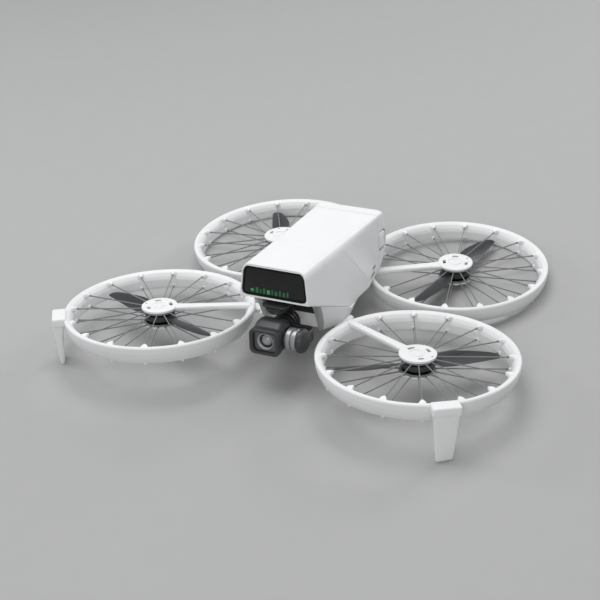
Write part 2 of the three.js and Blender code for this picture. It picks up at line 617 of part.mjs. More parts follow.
// Tilt motor: two bright rims with a groove between them.
function tiltMotorBody() {
  const length = tiltMotor.cup - tiltMotor.inner - 2 * gap;
  const rim = tiltMotor.radius - 0.3;
  return turned([[0, 0], [rim - 0.5, 0], [rim, 0.5], [rim, 2.9], [rim - 0.6, 3.2], [rim - 0.6, 3.6],
    [rim, 3.9], [rim, length], [0, length]], 24, axisX(tiltMotor.inner + gap, camera.y, camera.z));
}

// Camera housing: rounded block that tilts inside the roll arm. Its outline is [y, z] from the axis.
const housing = { halfWidth: 9.2, trunnion: 5 };
function cameraHousing() {
  const outline = [[-6.7, -7.2], [-1, -7.6], [4.4, -6.2], [7, -2.6], [7.4, 1.6], [6.6, 6.6],
    [4.6, 9.2], [2.2, 10], [-2.2, 10.1], [-6.7, 8.3]].map(([y, z]) => [y + camera.y, z + camera.z]);
  const body = prism(outline, -housing.halfWidth, housing.halfWidth, sideways);
  const section = roundedRectangle(2 * housing.halfWidth, 19, 5.4)
    .map(([x, z]) => [x, z + camera.z + 0.5]);
  const rounded = body.intersect(prism(section, 60, 90, forwards));
  const trunnion = disc(housing.trunnion, 0, tiltMotor.inner - 7, 20, axisX(7, camera.y, camera.z));
  return cut(join(rounded, trunnion), disc(5.3, -5, 3, 24, axisY(0, hood.back + 2, camera.z)));
}
function cameraHood() {
  const outline = (smaller) => roundedRectangle(hood.width - smaller, hood.height - smaller, 3)
    .map(([x, z]) => [x, z + camera.z]);
  const outer = prism(outline(0), -hood.back, -hood.front, forwards);
  const mouth = prism(outline(4), -hood.back + 1.6, -hood.front + 1, forwards);
  return cut(outer, mouth, disc(4.7, -8, 8, 24, axisY(0, hood.back, camera.z)));
}
const lensBarrel = () => turned([[3, 0], [4.4, 0], [4.4, 3.3], [3.6, 3.3], [3.6, 1.4], [3, 1.4], [3, 0]], 24,
  frameAlong(v3(0, hood.back + 3.4, camera.z), v3(0, -1, 0)));
const lensFront = () => turned([[0, 0.4], [2.7, 0.4], [2.7, 1.7], [3.3, 1.7], [2.6, 2.6], [0, 3.2]], 20,
  frameAlong(v3(0, hood.back + 3.4, camera.z), v3(0, -1, 0)));

// ---------------------------------------------------------------- assembly
const root = new THREE.Group();
const airframe = new THREE.Group();
stance.decompose(airframe.position, airframe.quaternion, airframe.scale);
root.add(airframe);

part('upper_shell', upperShell(), whitePlastic, airframe);
part('lower_body', lowerBody(), whitePlastic, airframe);
part('front_window', frontWindow(), blackGloss, airframe);
part('indicator_strip', indicatorStrip(), greenLight, airframe);
part('main_board', mainBoard(), boardGreen, airframe);
part('battery_contacts', batteryContacts(), contactGold, airframe);
part('battery_pack', batteryPack(), whitePlastic, airframe);
part('battery_latch_left', batteryLatch(1), whitePlastic, airframe);
part('battery_latch_right', batteryLatch(-1), whitePlastic, airframe);
part('power_button', buttonCap(), whitePlastic, airframe);
part('belly_sensor_window', sensorWindow(0), blackGloss, airframe);
ports.forEach((port) => part(port.name, portInsert(port), darkPlastic, airframe));

part('gimbal_mount', gimbalMount(), darkPlastic, airframe);
damperPlaces.forEach(([x, y], i) => part(`gimbal_damper_${i + 1}`, damper(x, y), rubber, airframe));
part('pan_motor', panMotor(), gimbalMetal, airframe);
part('pan_arm', panArm(), gimbalMetal, airframe);
part('roll_motor', rollMotorBody(), gimbalMetal, airframe);
part('roll_arm', rollArm(), gimbalMetal, airframe);
part('tilt_motor', tiltMotorBody(), brightMetal, airframe);
part('camera_housing', cameraHousing(), gimbalMetal, airframe);
part('camera_hood', cameraHood(), darkPlastic, airframe);
part('lens_barrel', lensBarrel(), darkPlastic, airframe);
part('lens_glass', lensFront(), lensGlass, airframe);

guards.forEach((guard) => {
  const group = new THREE.Group();
  group.position.copy(guard.centre);
  group.quaternion.copy(guard.lean);
  airframe.add(group);
  part(`${guard.name}_guard_ring`, guardRing(guard), whitePlastic, group);
  part(`${guard.name}_arm`, arm(guard), whitePlastic, group);
  part(`${guard.name}_upper_spokes`, spokeLayer(guard, upperSpokeZ, 8.2, 10.2, 0.8), carbon, group);
  part(`${guard.name}_lower_spokes`, spokeLayer(guard, lowerSpokeZ, 9.6, 11.4, 1.2), carbon, group);
  part(`${guard.name}_motor_stator`, motorStator(), motorMetal, group);
  part(`${guard.name}_motor_bell`, motorBell(), motorMetal, group);
  part(`${guard.name}_propeller`, propeller(guard), propPlastic, group);
  const half = knuckle.length / 2 + cheekLength - 0.4;
  const pin = disc(pinRadius, -half, half, 16, hingeFrame(guard));
  part(`${guard.name}_hinge_pin`, pin, steel, airframe);
});

// Puts the middle of the whole drone's box over the origin.
root.updateMatrixWorld(true);
const middle = new THREE.Box3().setFromObject(root, true).getCenter(v3(0, 0, 0));
airframe.position.x -= middle.x;
airframe.position.y -= middle.y;

// Where the moving pieces turn or slide, in the level airframe's coordinates. The folds and
// rotors are in the guards' own values.
const hingeJoint = (parent, p, k, low, high) => ({ type: 'h', parent, p, k, lo: rad(low), hi: rad(high) });
const slideJoint = (parent, k, high) => ({ type: 's', parent, k, lo: 0, hi: high });
root.userData = {
  guards,
  joints: {
    pan: hingeJoint('root', v3(0, pan.y, 0), v3(0, 0, 1), -25, 25),
    roll: hingeJoint('pan', v3(0, 0, camera.z), v3(0, 1, 0), -30, 30),
    tilt: hingeJoint('roll', v3(0, camera.y, camera.z), v3(-1, 0, 0), -90, 35),
    battery: slideJoint('root', v3(0, 1, 0), 52),
    latch_left: slideJoint('battery', v3(-1, 0, 0), 1.2),
    latch_right: slideJoint('battery', v3(1, 0, 0), 1.2),
    button: slideJoint('root', v3(1, 0, 0), 0.8),
  },
};
export default root;
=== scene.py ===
"""Folding camera drone with four ring guards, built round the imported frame.

Pieces are drawn in millimetres in the level airframe: the nose is at -Y, the left side at +X,
and z = 0 is the plane of the front guards' upper edges. LEVEL_TO_ROW carries them to the row
frame, in metres, where the drone stands nose-up on two front feet and its rear guards.
"""
import json
import math

import bmesh
import bpy
from mathutils import Matrix, Vector


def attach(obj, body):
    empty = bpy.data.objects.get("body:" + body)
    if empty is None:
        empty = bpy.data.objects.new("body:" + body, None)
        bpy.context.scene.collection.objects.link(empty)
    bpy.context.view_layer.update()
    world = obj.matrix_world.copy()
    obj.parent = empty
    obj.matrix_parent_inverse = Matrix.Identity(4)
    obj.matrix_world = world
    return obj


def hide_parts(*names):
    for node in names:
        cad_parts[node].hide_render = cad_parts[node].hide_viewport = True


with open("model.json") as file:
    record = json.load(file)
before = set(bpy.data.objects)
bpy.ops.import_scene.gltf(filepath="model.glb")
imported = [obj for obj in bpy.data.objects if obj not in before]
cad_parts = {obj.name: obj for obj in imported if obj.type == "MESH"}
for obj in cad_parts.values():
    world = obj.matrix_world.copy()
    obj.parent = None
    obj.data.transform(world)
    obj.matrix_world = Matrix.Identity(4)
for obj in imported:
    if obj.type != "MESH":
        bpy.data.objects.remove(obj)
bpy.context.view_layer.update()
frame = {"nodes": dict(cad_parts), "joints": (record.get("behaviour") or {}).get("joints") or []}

# ------------------------------------------------------------------ where things are
PITCH = math.radians(7.46)
STANCE = Matrix.Translation((0.219, -0.296, 18.27)) @ Matrix.Rotation(-PITCH, 4, "X")
LEVEL_TO_ROW = Matrix.Scale(0.001, 4) @ STANCE
ROW_TO_LEVEL = LEVEL_TO_ROW.inverted()
GAP = 0.3
RING = 56.5          # outer radius of a guard ring at its upper edge
BAND = 10.9          # height of the ring's band
HUB = 10.5           # radius of the white hub disc
SLOTS = 16           # places round a ring for a spoke or the arm
X, Y, Z = Vector((1, 0, 0)), Vector((0, 1, 0)), Vector((0, 0, 1))

JOINTS = {joint["name"]: joint for joint in frame["joints"]}


def level_joint(name):
    """A joint's point and axis in the level airframe."""
    joint = JOINTS[name]
    point = ROW_TO_LEVEL @ Vector(joint["pos_m"])
    axis = ROW_TO_LEVEL.to_3x3() @ Vector(joint["axis"])
    return point, axis.normalized()


def along(origin, axis, hint=X):
    """Matrix whose Z runs along axis, with X as near as it can be to hint."""
    z = Vector(axis).normalized()
    y = z.cross(hint).normalized()
    x = y.cross(z)
    turn = Matrix((x, y, z)).transposed().to_4x4()
    return Matrix.Translation(origin) @ turn


def basis(x, y, z):
    return Matrix((x, y, z)).transposed().to_4x4()


SIDEWAYS = basis(Y, Z, X)      # outlines drawn as (y, z), thickness along +X
FORWARDS = basis(X, Z, -Y)     # outlines drawn as (x, z), thickness towards the nose


class Guard:
    """One ring guard, with the places round it. Angles run from the outward side."""

    def __init__(self, name, side, centre, normal, start, arm_slot, arm_angle, lug_angle,
                 blade_angle, leg_angle=None):
        self.name, self.side = name, side
        self.start, self.arm_slot, self.arm_angle = start, arm_slot, arm_angle
        self.blade_angle, self.leg_angle = blade_angle, leg_angle
        mirror = Vector((side, 1, 1))
        upright = (Vector(normal) * mirror).normalized()
        turn = Z.rotation_difference(upright).to_matrix().to_4x4()
        self.place = Matrix.Translation(Vector(centre) * mirror) @ turn
        point, self.hinge_axis = level_joint(name + "_fold")
        self.wall_point = self.place @ self.at(RING - 1.4, lug_angle, -4.6)
        along_pin = (self.wall_point - point).dot(self.hinge_axis)
        self.hinge_point = point + self.hinge_axis * along_pin
        self.hinge = along(self.hinge_point, self.hinge_axis, self.wall_point - self.hinge_point)
        self.fold_angle = math.radians(JOINTS[name + "_fold"]["range_deg"][1])

    def turn(self, angle):
        return math.radians(angle if self.side > 0 else 180 - angle)

    def at(self, radius, angle, z):
        a = self.turn(angle)
        return Vector((radius * math.cos(a), radius * math.sin(a), z))

    def radial(self, angle):
        """Matrix of the level airframe: X outwards at that angle, Y round the rim, Z up."""
        out = self.at(1, angle, 0)
        return self.place @ basis(out, Z.cross(out), Z)

    def spokes(self):
        """Angles of the spokes. The arm takes the place of one of the slots."""
        return [self.start + slot * 360 / SLOTS for slot in range(SLOTS) if slot != self.arm_slot]

    def spun(self, k, count):
        """Place of the k-th of some features set evenly round the rotor's axis."""
        return self.place @ Matrix.Rotation(math.tau * k / count, 4, "Z")


FRONT = dict(centre=(81.3, -59.2, 0), normal=(0.023, 0, 1), start=1.5, arm_slot=7,
             arm_angle=156.5, lug_angle=152)
REAR = dict(centre=(59.75, 59.2, 3.6), normal=(0.04, -0.083, 0.996), start=13.4, arm_slot=9,
            arm_angle=-146.5, lug_angle=-139)
# The right rear guard is put on three degrees round from the left one.
GUARDS = [
    Guard("front_left", 1, blade_angle=35, leg_angle=-54.5, **FRONT),
    Guard("front_right", -1, blade_angle=160, leg_angle=-33, **FRONT),
    Guard("rear_left", 1, blade_angle=80, **REAR),
    Guard("rear_right", -1, blade_angle=120, **{**REAR, "start": 16.4, "arm_angle": -143.5}),
]


# ------------------------------------------------------------------ drawing helpers
class Draft:
    """Points and faces of a piece, in millimetres in the level airframe."""

    def __init__(self):
        self.points, self.faces = [], []

    def skin(self, loops, matrix=Matrix(), closed=True, ring=False, caps=True):
        """Joins loops of points into a surface. A loop of one point is a pole."""
        starts = []
        for loop in loops:
            starts.append(len(self.points))
            self.points += [matrix @ Vector(p) for p in loop]
        pairs = list(zip(range(len(loops) - 1), range(1, len(loops))))
        if ring:
            pairs.append((len(loops) - 1, 0))
        for i, j in pairs:
            a, b, m, n = starts[i], starts[j], len(loops[i]), len(loops[j])
            count = max(m, n)
            for k in range(count if closed else count - 1):
                k2 = (k + 1) % count
                if m == 1:
                    self.faces.append((a, b + k2, b + k))
                elif n == 1:
                    self.faces.append((a + k, a + k2, b))
                else:
                    self.faces.append((a + k, a + k2, b + k2, b + k))
        if caps and not ring:
            if len(loops[0]) > 2:
                self.faces.append(tuple(reversed(range(starts[0], starts[0] + len(loops[0])))))
            if len(loops[-1]) > 2:
                self.faces.append(tuple(range(starts[-1], starts[-1] + len(loops[-1]))))
        return self


def fillet(corners, radius, steps=4, closed=True):
    """Rounds the corners of a flat outline. A corner may give its own radius third."""
    rounded = []
    count = len(corners)
    for i, corner in enumerate(corners):
        p = Vector(corner[:2])
        r = corner[2] if len(corner) > 2 else radius
        if r <= 0 or (not closed and i in (0, count - 1)):
            rounded.append(p)
            continue
        before = Vector(corners[i - 1][:2]) - p
        after = Vector(corners[(i + 1) % count][:2]) - p
        reach = 0.48 * min(before.length, after.length)
        before.normalize()
        after.normalize()
        half = math.acos(max(-1, min(1, before.dot(after)))) / 2
        if half > 1.54:
            rounded.append(p)
            continue
        r = min(r, reach * math.tan(half))
        centre = p + (before + after).normalized() * (r / math.sin(half))
        first = p + before * (r / math.tan(half)) - centre
        last = p + after * (r / math.tan(half)) - centre
        sweep = math.atan2(first.x * last.y - first.y * last.x, first.dot(last))
        for k in range(steps + 1):
            angle = sweep * k / steps
            c, s = math.cos(angle), math.sin(angle)
            rounded.append(centre + Vector((first.x * c - first.y * s, first.x * s + first.y * c)))
    return rounded


def offset(outline, distance):
    """Moves an anticlockwise outline inwards."""
    moved = []
    for i, p in enumerate(outline):
        before, after = p - outline[i - 1], outline[(i + 1) % len(outline)] - p
        a = Vector((-before.y, before.x)).normalized()
        b = Vector((-after.y, after.x)).normalized()
        middle = (a + b).normalized()
        moved.append(p + middle * (distance / max(middle.dot(b), 0.4)))
    return moved


def rectangle(x0, x1, y0, y1, radius, steps=4):
    return fillet([(x0, y0), (x1, y0), (x1, y1), (x0, y1)], radius, steps)


def circle(radius, steps=48, x=0, y=0):
    angles = [math.tau * k / steps for k in range(steps)]
    return [Vector((x + radius * math.cos(a), y + radius * math.sin(a))) for a in angles]


def slab(draft, outline, low, high, edge=0.3, matrix=Matrix(), steps=3):
    """A plate of that outline with rounded edges at both ends."""
    levels = []
    for k in range(steps + 1 if edge else 1):
        a = math.pi / 2 * k / steps
        levels.append((edge * (1 - math.sin(a)), low + edge * (1 - math.cos(a))))
    levels += [(inset, low + high - z) for inset, z in reversed(levels)]
    return draft.skin([raised(offset(outline, inset), z) for inset, z in levels], matrix)


def lathe(draft, profile, edge=0.2, matrix=Matrix(), segments=64, steps=3):
    """Turns (radius, height) corners about Z. It is a ring unless both ends are on the axis."""
    ring = profile[0][0] > 0
    path = fillet(profile, edge, steps, closed=ring)
    loops = []
    for p in path:
        if p.x < 1e-6:
            loops.append([(0, 0, p.y)])
        else:
            loops.append(raised(circle(p.x, segments), p.y))
    return draft.skin(loops, matrix, ring=ring, caps=False)


def tube(draft, inner, outer, low, high, edge, matrix, segments):
    """A ring along Z with a four-sided section and rounded rims."""
    return lathe(draft, [(inner, low), (outer, low), (outer, high), (inner, high)], edge, matrix,
                 segments)


def rod(draft, radius, low, high, edge, matrix, segments):
    """A solid disc or pin along Z with rounded rims."""
    return tube(draft, 0, radius, low, high, edge, matrix, segments)


def bar(draft, sections, matrix=Matrix(), sides=8):
    """A rounded bar along X: sections are (x, half width, low z, high z, sideways shift)."""
    loops = []
    for x, half, low, high, *aside in sections:
        middle, tall = (low + high) / 2, (high - low) / 2
        y0 = aside[0] if aside else 0
        loop = []
        for k in range(sides * 2):
            a = math.tau * (k + 0.5) / (sides * 2)
            c, s = math.cos(a), math.sin(a)
            grow = (abs(c) ** 4 + abs(s) ** 4) ** -0.25
            loop.append((x, y0 + half * c * grow, middle + tall * s * grow))
        loops.append(loop)
    return draft.skin(loops, matrix)


def raised(outline, height):
    """A flat outline's points at that height."""
    return [(p.x, p.y, height) for p in outline]


def shift(x, y, z):
    return Matrix.Translation((x, y, z))


def make(name, draft, body, material, slot, *nodes, angle=32):
    """Turns a draft into a piece that rides on a body and stands for some CAD nodes."""
    mesh = bpy.data.meshes.new(name)
    mesh.from_pydata([tuple(LEVEL_TO_ROW @ p) for p in draft.points], [], draft.faces)
    mesh.materials.append(material)
    piece = bpy.data.objects.new(name, mesh)
    bpy.context.scene.collection.objects.link(piece)
    clean(mesh, angle)
    if body:
        adopt(piece, body, slot, *nodes)
    return piece


def make_for(guard, name, draft, material, slot, *nodes, body="guard", angle=32):
    """A piece of one guard. Its name, its body and its nodes start with the guard's name."""
    make(f"{guard.name}_{name}", draft, f"{guard.name}_{body}", material, slot,
         *[f"{guard.name}_{node}" for node in nodes], angle=angle)


def clean(mesh, angle=32):
    """Merges doubled points, faces outwards and shades smooth up to an edge angle."""
    work = bmesh.new()
    work.from_mesh(mesh)
    bmesh.ops.remove_doubles(work, verts=work.verts, dist=2e-6)
    bmesh.ops.recalc_face_normals(work, faces=work.faces)
    work.to_mesh(mesh)
    work.free()
    mesh.shade_smooth()
    mesh.set_sharp_from_angle(angle=math.radians(angle))


def adopt(piece, body, slot, *nodes):
    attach(piece, body)
    if nodes:
        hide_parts(*nodes)


def carve(piece, tools, operation="DIFFERENCE", angle=32):
    """Cuts drafts or bare pieces out of a piece, or joins them to it, and deletes them."""
    tools = [bare(tool) if isinstance(tool, Draft) else tool for tool in tools]
    for tool in tools:
        step = piece.modifiers.new("cut", "BOOLEAN")
        step.object, step.operation, step.solver = tool, operation, "EXACT"
    bake(piece)
    for tool in tools:
        bpy.data.objects.remove(tool)
    piece.data.shade_smooth()
    piece.data.set_sharp_from_angle(angle=math.radians(angle))


def bake(piece):
    """Applies a piece's modifiers."""
    bpy.context.view_layer.update()
    graph = bpy.context.evaluated_depsgraph_get()
    mesh = bpy.data.meshes.new_from_object(piece.evaluated_get(graph))
    piece.modifiers.clear()
    piece.data = mesh


def bare(draft, look=None):
    """A piece that rides nothing yet."""
    return make("bare", draft, None, look or WHITE, None)


# ------------------------------------------------------------------ materials
def material(name, color, roughness, metallic=0.0, grain=0.0, grain_mm=0.35, mottle=0.0,
             gloss=0.0, **sockets):
    """A shader with fine moulded or machined grain, uneven gloss and slight mottling."""
    made = bpy.data.materials.new(name)
    made.use_nodes = True
    tree = made.node_tree
    shader = tree.nodes["Principled BSDF"]
    shader.inputs["Base Color"].default_value = (*color, 1)
    shader.inputs["Roughness"].default_value = roughness
    shader.inputs["Metallic"].default_value = metallic
    for socket, value in sockets.items():
        shader.inputs[socket.replace("_", " ")].default_value = value
    place = tree.nodes.new("ShaderNodeTexCoord").outputs["Object"]

    def noise(size_mm, detail):
        node = tree.nodes.new("ShaderNodeTexNoise")
        node.inputs["Scale"].default_value = 1000 / size_mm
        node.inputs["Detail"].default_value = detail
        tree.links.new(place, node.inputs["Vector"])
        return node.outputs["Fac"]

    def spread(value, low, high):
        node = tree.nodes.new("ShaderNodeMapRange")
        node.inputs["From Min"].default_value = 0.3
        node.inputs["From Max"].default_value = 0.7
        node.inputs["To Min"].default_value = low
        node.inputs["To Max"].default_value = high
        tree.links.new(value, node.inputs["Value"])
        return node.outputs["Result"]

    if gloss:
        tree.links.new(spread(noise(9, 3), roughness - gloss, roughness + gloss),
                       shader.inputs["Roughness"])
    if mottle:
        mix = tree.nodes.new("ShaderNodeMix")
        mix.data_type = "RGBA"
        mix.inputs["A"].default_value = (*[c * (1 - mottle) for c in color], 1)
        mix.inputs["B"].default_value = (*[min(1, c * (1 + mottle)) for c in color], 1)
        tree.links.new(spread(noise(14, 4), 0, 1), mix.inputs["Factor"])
        tree.links.new(mix.outputs["Result"], shader.inputs["Base Color"])
    if grain:
        bump = tree.nodes.new("ShaderNodeBump")
        bump.inputs["Strength"].default_value = grain
        bump.inputs["Distance"].default_value = 0.00003
        tree.links.new(noise(grain_mm, 2), bump.inputs["Height"])
        tree.links.new(bump.outputs["Normal"], shader.inputs["Normal"])
    return made


WHITE = material("white shell plastic", (0.80, 0.805, 0.81), 0.42, grain=0.35, mottle=0.012,
                 gloss=0.05)
WHITE_RING = material("white guard plastic", (0.78, 0.785, 0.79), 0.46, grain=0.3, mottle=0.012,
                      gloss=0.05)
HUB_RING = material("grey hub plastic", (0.7, 0.705, 0.71), 0.5, grain=0.3, mottle=0.03,
                    gloss=0.05)
BEZEL = material("black bezel plastic", (0.004, 0.004, 0.0045), 0.3, gloss=0.04, mottle=0.1,
                 Specular_IOR_Level=0.25)
WINDOW = material("black window glass", (0.006, 0.006, 0.007), 0.09, gloss=0.02, mottle=0.1,
                  Coat_Weight=0.6, Coat_Roughness=0.03)
PANE = material("smoked inner pane", (0.009, 0.0093, 0.01), 0.28, gloss=0.04, grain=0.15,
                grain_mm=0.8, mottle=0.15, Specular_IOR_Level=0.4)
# Painted shade: a grey that stands in for the shade on the bay's forward-facing walls under the
# nose.
BAY_FACE_PAINTED_SHADE = material("painted shade on bay faces", (0.36, 0.362, 0.367), 0.5, grain=0.35, mottle=0.03,
                    gloss=0.05)
# Painted shadow: near-black rim that fills the gap round each battery latch.
SHADOW = material("painted shadow round the latch", (0.03, 0.03, 0.031), 0.6, grain=0.3, mottle=0.1)
# Painted shade: near-black sheet over the back and roof of the gimbal bay, where the bay lies in
# shadow.
BAY_BACK_PAINTED_SHADE = material("painted shade in the bay", (0.02, 0.02, 0.021), 0.62, grain=0.5, mottle=0.1, gloss=0.05)
DARK = material("dark satin plastic", (0.022, 0.0225, 0.024), 0.48, grain=0.5, mottle=0.1,
                gloss=0.06)
PORT = material("port plastic", (0.006, 0.006, 0.006), 0.5, grain=0.4, mottle=0.1)
SPOKE = material("grey spoke plastic", (0.2, 0.203, 0.208), 0.42, grain=0.4, mottle=0.08,
                 gloss=0.06)
PROP = material("propeller plastic", (0.028, 0.029, 0.031), 0.36, grain=0.35, grain_mm=0.6,
                mottle=0.1, gloss=0.06)
MOTOR = material("motor coating", (0.012, 0.0125, 0.014), 0.34, 0.5, grain=0.3, mottle=0.1,
                 gloss=0.08)
COPPER = material("copper winding", (0.62, 0.26, 0.12), 0.35, 0.9, grain=0.6, mottle=0.15,
                  gloss=0.06)
GIMBAL = material("anodised grey metal", (0.075, 0.077, 0.082), 0.38, 0.7, grain=0.3,
                  grain_mm=0.2, mottle=0.08, gloss=0.06)
HOUSING = material("dark housing", (0.055, 0.056, 0.06), 0.42, 0.4, grain=0.35, grain_mm=0.25,
                   mottle=0.08, gloss=0.05)
BRIGHT = material("turned bright metal", (0.42, 0.425, 0.44), 0.42, 0.8, grain=0.06, mottle=0.02,
                  gloss=0.03)
INSERT = material("grey lens insert", (0.13, 0.132, 0.137), 0.4, 0.2, grain=0.25, mottle=0.05,
                  gloss=0.04)
# Painted light: the funnel ring is lightened to stand in for light that the hood keeps out.
FUNNEL_PAINTED_LIGHT = material("lens funnel with painted light", (0.62, 0.625, 0.635), 0.35, 0.3, grain=0.15, mottle=0.04,
                  gloss=0.04)
# Painted reflection: the glass's base colour is lifted to a mid grey, under a real glossy coat.
LENS_PAINTED_REFLECTION = material("coated lens glass", (0.3, 0.305, 0.32), 0.14, gloss=0.008, mottle=0.2,
                Coat_Weight=1.0, Coat_Roughness=0.02, Specular_IOR_Level=0.9)
RUBBER = material("black rubber", (0.015, 0.015, 0.016), 0.8, grain=0.7, mottle=0.15, gloss=0.05)
BOARD = material("circuit board", (0.01, 0.09, 0.045), 0.45, grain=0.5, grain_mm=1.2, mottle=0.3,
                 gloss=0.1)
GOLD = material("gold contacts", (0.8, 0.56, 0.2), 0.25, 0.95, grain=0.2, mottle=0.06, gloss=0.05)
STEEL = material("hinge steel", (0.5, 0.51, 0.53), 0.3, 0.95, grain=0.3, mottle=0.05, gloss=0.06)
GREEN = material("green light", (0.02, 0.22, 0.06), 0.3, mottle=0.3,
                 Emission_Color=(0.05, 0.6, 0.16, 1), Emission_Strength=0.16)
GREEN_DIM = material("dim green light", (0.02, 0.09, 0.04), 0.3, mottle=0.3,
                     Emission_Color=(0.04, 0.4, 0.12, 1), Emission_Strength=0.07)


def dress(node, look, bevel):
    """Gives a CAD node that stays its material and rounds its edges by bevel millimetres."""
    part = frame["nodes"][node]
    part.data.materials.clear()
    part.data.materials.append(look)
    flat = part.modifiers.new("flatten", "DECIMATE")
    flat.decimate_type, flat.angle_limit = "DISSOLVE", math.radians(4)
    edge = part.modifiers.new("edges", "BEVEL")
    edge.width, edge.segments = bevel * 0.001, 2
    edge.limit_method, edge.angle_limit = "ANGLE", math.radians(30)
    edge.harden_normals = False
    part.data.shade_smooth()
    part.data.set_sharp_from_angle(angle=math.radians(32))


# ------------------------------------------------------------------ body hull
ROOF_NOSE, ROOF_TAIL = (-69.6, 42.2), (38.9, 40.1)
SEAM_Y = 28.0
# Half widths at a depth below the roof: the ridge's y, then nose, ridge, waist and tail.
LEVELS = [(0, -23.5, 18.8, 19.75, 20.5, 21.1), (5, -18.9, 19.6, 20.7, 20.8, 21.2),
          (25, -0.4, 21.9, 24.2, 21.9, 21.6), (31, 4.5, 22.6, 24.9, 22, 21.5),
          (52, 6, 23.4, 26.4, 22.2, 21.4)]
TAIL = [(27, 4.6), (31.6, 6), (35.6, 8.6), (39.2, 12.4), (41.6, 16.8), (42.7, 21.4),
        (42.4, 25.6), (41.4, 30), (40.2, 34), (38.9, 38), (36.8, 40.2)]


def lerp(a, b, t):
    return a + (b - a) * t


def table(rows, x):
    """Piecewise-linear lookup in rows of (x, values...)."""
    for low, high in zip(rows, rows[1:]):
        if x <= high[0]:
            break
    t = max(0.0, min(1.0, (x - low[0]) / (high[0] - low[0])))
    return [lerp(a, b, t) for a, b in zip(low[1:], high[1:])]


def roof(y):
    (y0, z0), (y1, z1) = ROOF_NOSE, ROOF_TAIL
    return z0 + (z1 - z0) * (y - y0) / (y1 - y0)


def underside(y):
    return table([(-70.3, 22.6), (-22, 2.6), (27, 4.6), (50, 6)], y)[0]


def half_width(y, z):
    ridge_y, nose, ridge, waist, tail = table(LEVELS, roof(y) - z)
    rows = [(-76, nose), (ridge_y, ridge), (ridge_y + 19, waist), (46, tail)]
    return sum(table(rows, y + shift)[0] for shift in (-0.7, 0, 0.7)) / 3


def smooth_path(points):
    """Function from 0 to 1 of the distance along a smooth curve through the given points."""
    fine = []
    padded = [2 * Vector(points[0]) - Vector(points[1]), *map(Vector, points),
              2 * Vector(points[-1]) - Vector(points[-2])]
    for p0, p1, p2, p3 in zip(padded, padded[1:], padded[2:], padded[3:]):
        for k in range(12):
            t = k / 12
            bend = (p2 - p0) * t + (2 * p0 - 5 * p1 + 4 * p2 - p3) * t ** 2
            fine.append(0.5 * (2 * p1 + bend + (3 * p1 - p0 - 3 * p2 + p3) * t ** 3))
    fine.append(Vector(points[-1]))
    lengths = [0.0]
    for a, b in zip(fine, fine[1:]):
        lengths.append(lengths[-1] + (b - a).length)
    rows = [(s, p.x, p.y) for s, p in zip(lengths, fine)]
    return lambda t: Vector(table(rows, t * lengths[-1]))


TAIL_PATH = smooth_path(TAIL)


def side_point(u, v):
    """A point of the side view: u runs from nose to tail and v from underside to roof."""
    def floor_line(s):
        y = lerp(-70.3, 27, s)
        return Vector((y, underside(y)))

    def roof_line(s):
        y = lerp(-69.6, 36.8, s)
        return Vector((y, roof(y)))
    nose = floor_line(0).lerp(roof_line(0), v)
    tail = TAIL_PATH(v)
    across = floor_line(u).lerp(roof_line(u), v) + nose.lerp(tail, u)
    corners = floor_line(0).lerp(floor_line(1), u).lerp(roof_line(0).lerp(roof_line(1), u), v)
    return across - corners


def graded(length, first, last, step):
    """Positions from 0 to 1 with quarter-circle spacing at both ends."""
    near = [first * (1 - math.cos(math.pi / 2 * k / 6)) for k in range(7)]
    far = [length - last * (1 - math.cos(math.pi / 2 * k / 6)) for k in reversed(range(7))]
    count = max(1, round((far[0] - near[-1]) / step))
    middle = [lerp(near[-1], far[0], k / count) for k in range(1, count)]
    return [s / length for s in near + middle + far]


def rounding(distance, depth, width):
    if distance >= depth:
        return 0
    return width * (1 - math.sqrt(max(0, 1 - (1 - max(0, distance) / depth) ** 2)))


ROOF_CROWN, TAIL_CROWN = 0.25, 0.7     # how far the roof and the tail bulge in the middle
FACET = 1.3            # spacing of the hull's points


def hull():
    """The whole white body as a closed surface: two sides and the band between them."""
    us = graded(110, 0.8, 4, FACET)
    vs = graded(32, 0.8, 5, FACET)
    side = []
    for u in us:
        column = []
        for v in vs:
            p = side_point(u, v)
            shoulder = lerp(5, 2.6, max(0, min(1, (p.x + 5) / 35)))
            inset = (rounding((p - side_point(u, 1)).length, shoulder, 0.6 * shoulder)
                     + rounding((p - side_point(1, v)).length, 3.2, 2.6)
                     + rounding((p - side_point(0, v)).length, 0.6, 0.35)
                     + rounding((p - side_point(u, 0)).length, 0.8, 0.8))
            column.append((half_width(p.x, p.y) - inset, p.x, p.y))
        side.append(column)
    n, m = len(us), len(vs)
    draft = Draft()
    for sign in (1, -1):
        draft.skin([[(sign * x, y, z) for x, y, z in column] for column in side],
                   closed=False, caps=False)
    # Round the rim: the roof, the tail, the underside and the nose, with each point's bulge.
    rim = ([(i, m - 1, Z * ROOF_CROWN, us[i]) for i in range(n)]
           + [(n - 1, j, Y * TAIL_CROWN, vs[j]) for j in reversed(range(m - 1))]
           + [(i, 0, Z * 0, 0) for i in reversed(range(n - 1))]
           + [(0, j, Z * 0, 0) for j in range(1, m - 1)])
    band = []
    for i, j, crown, t in rim:
        x, y, z = side[i][j]
        lift = crown * math.sin(math.pi * min(1, max(0, t))) ** 0.6
        row = []
        for k in range(17):
            s = 1 - 2 * k / 16
            row.append(Vector((x * s, y, z)) + lift * (1 - s * s))
        band.append(row)
    draft.skin(band, closed=False, ring=True, caps=False)
    return draft


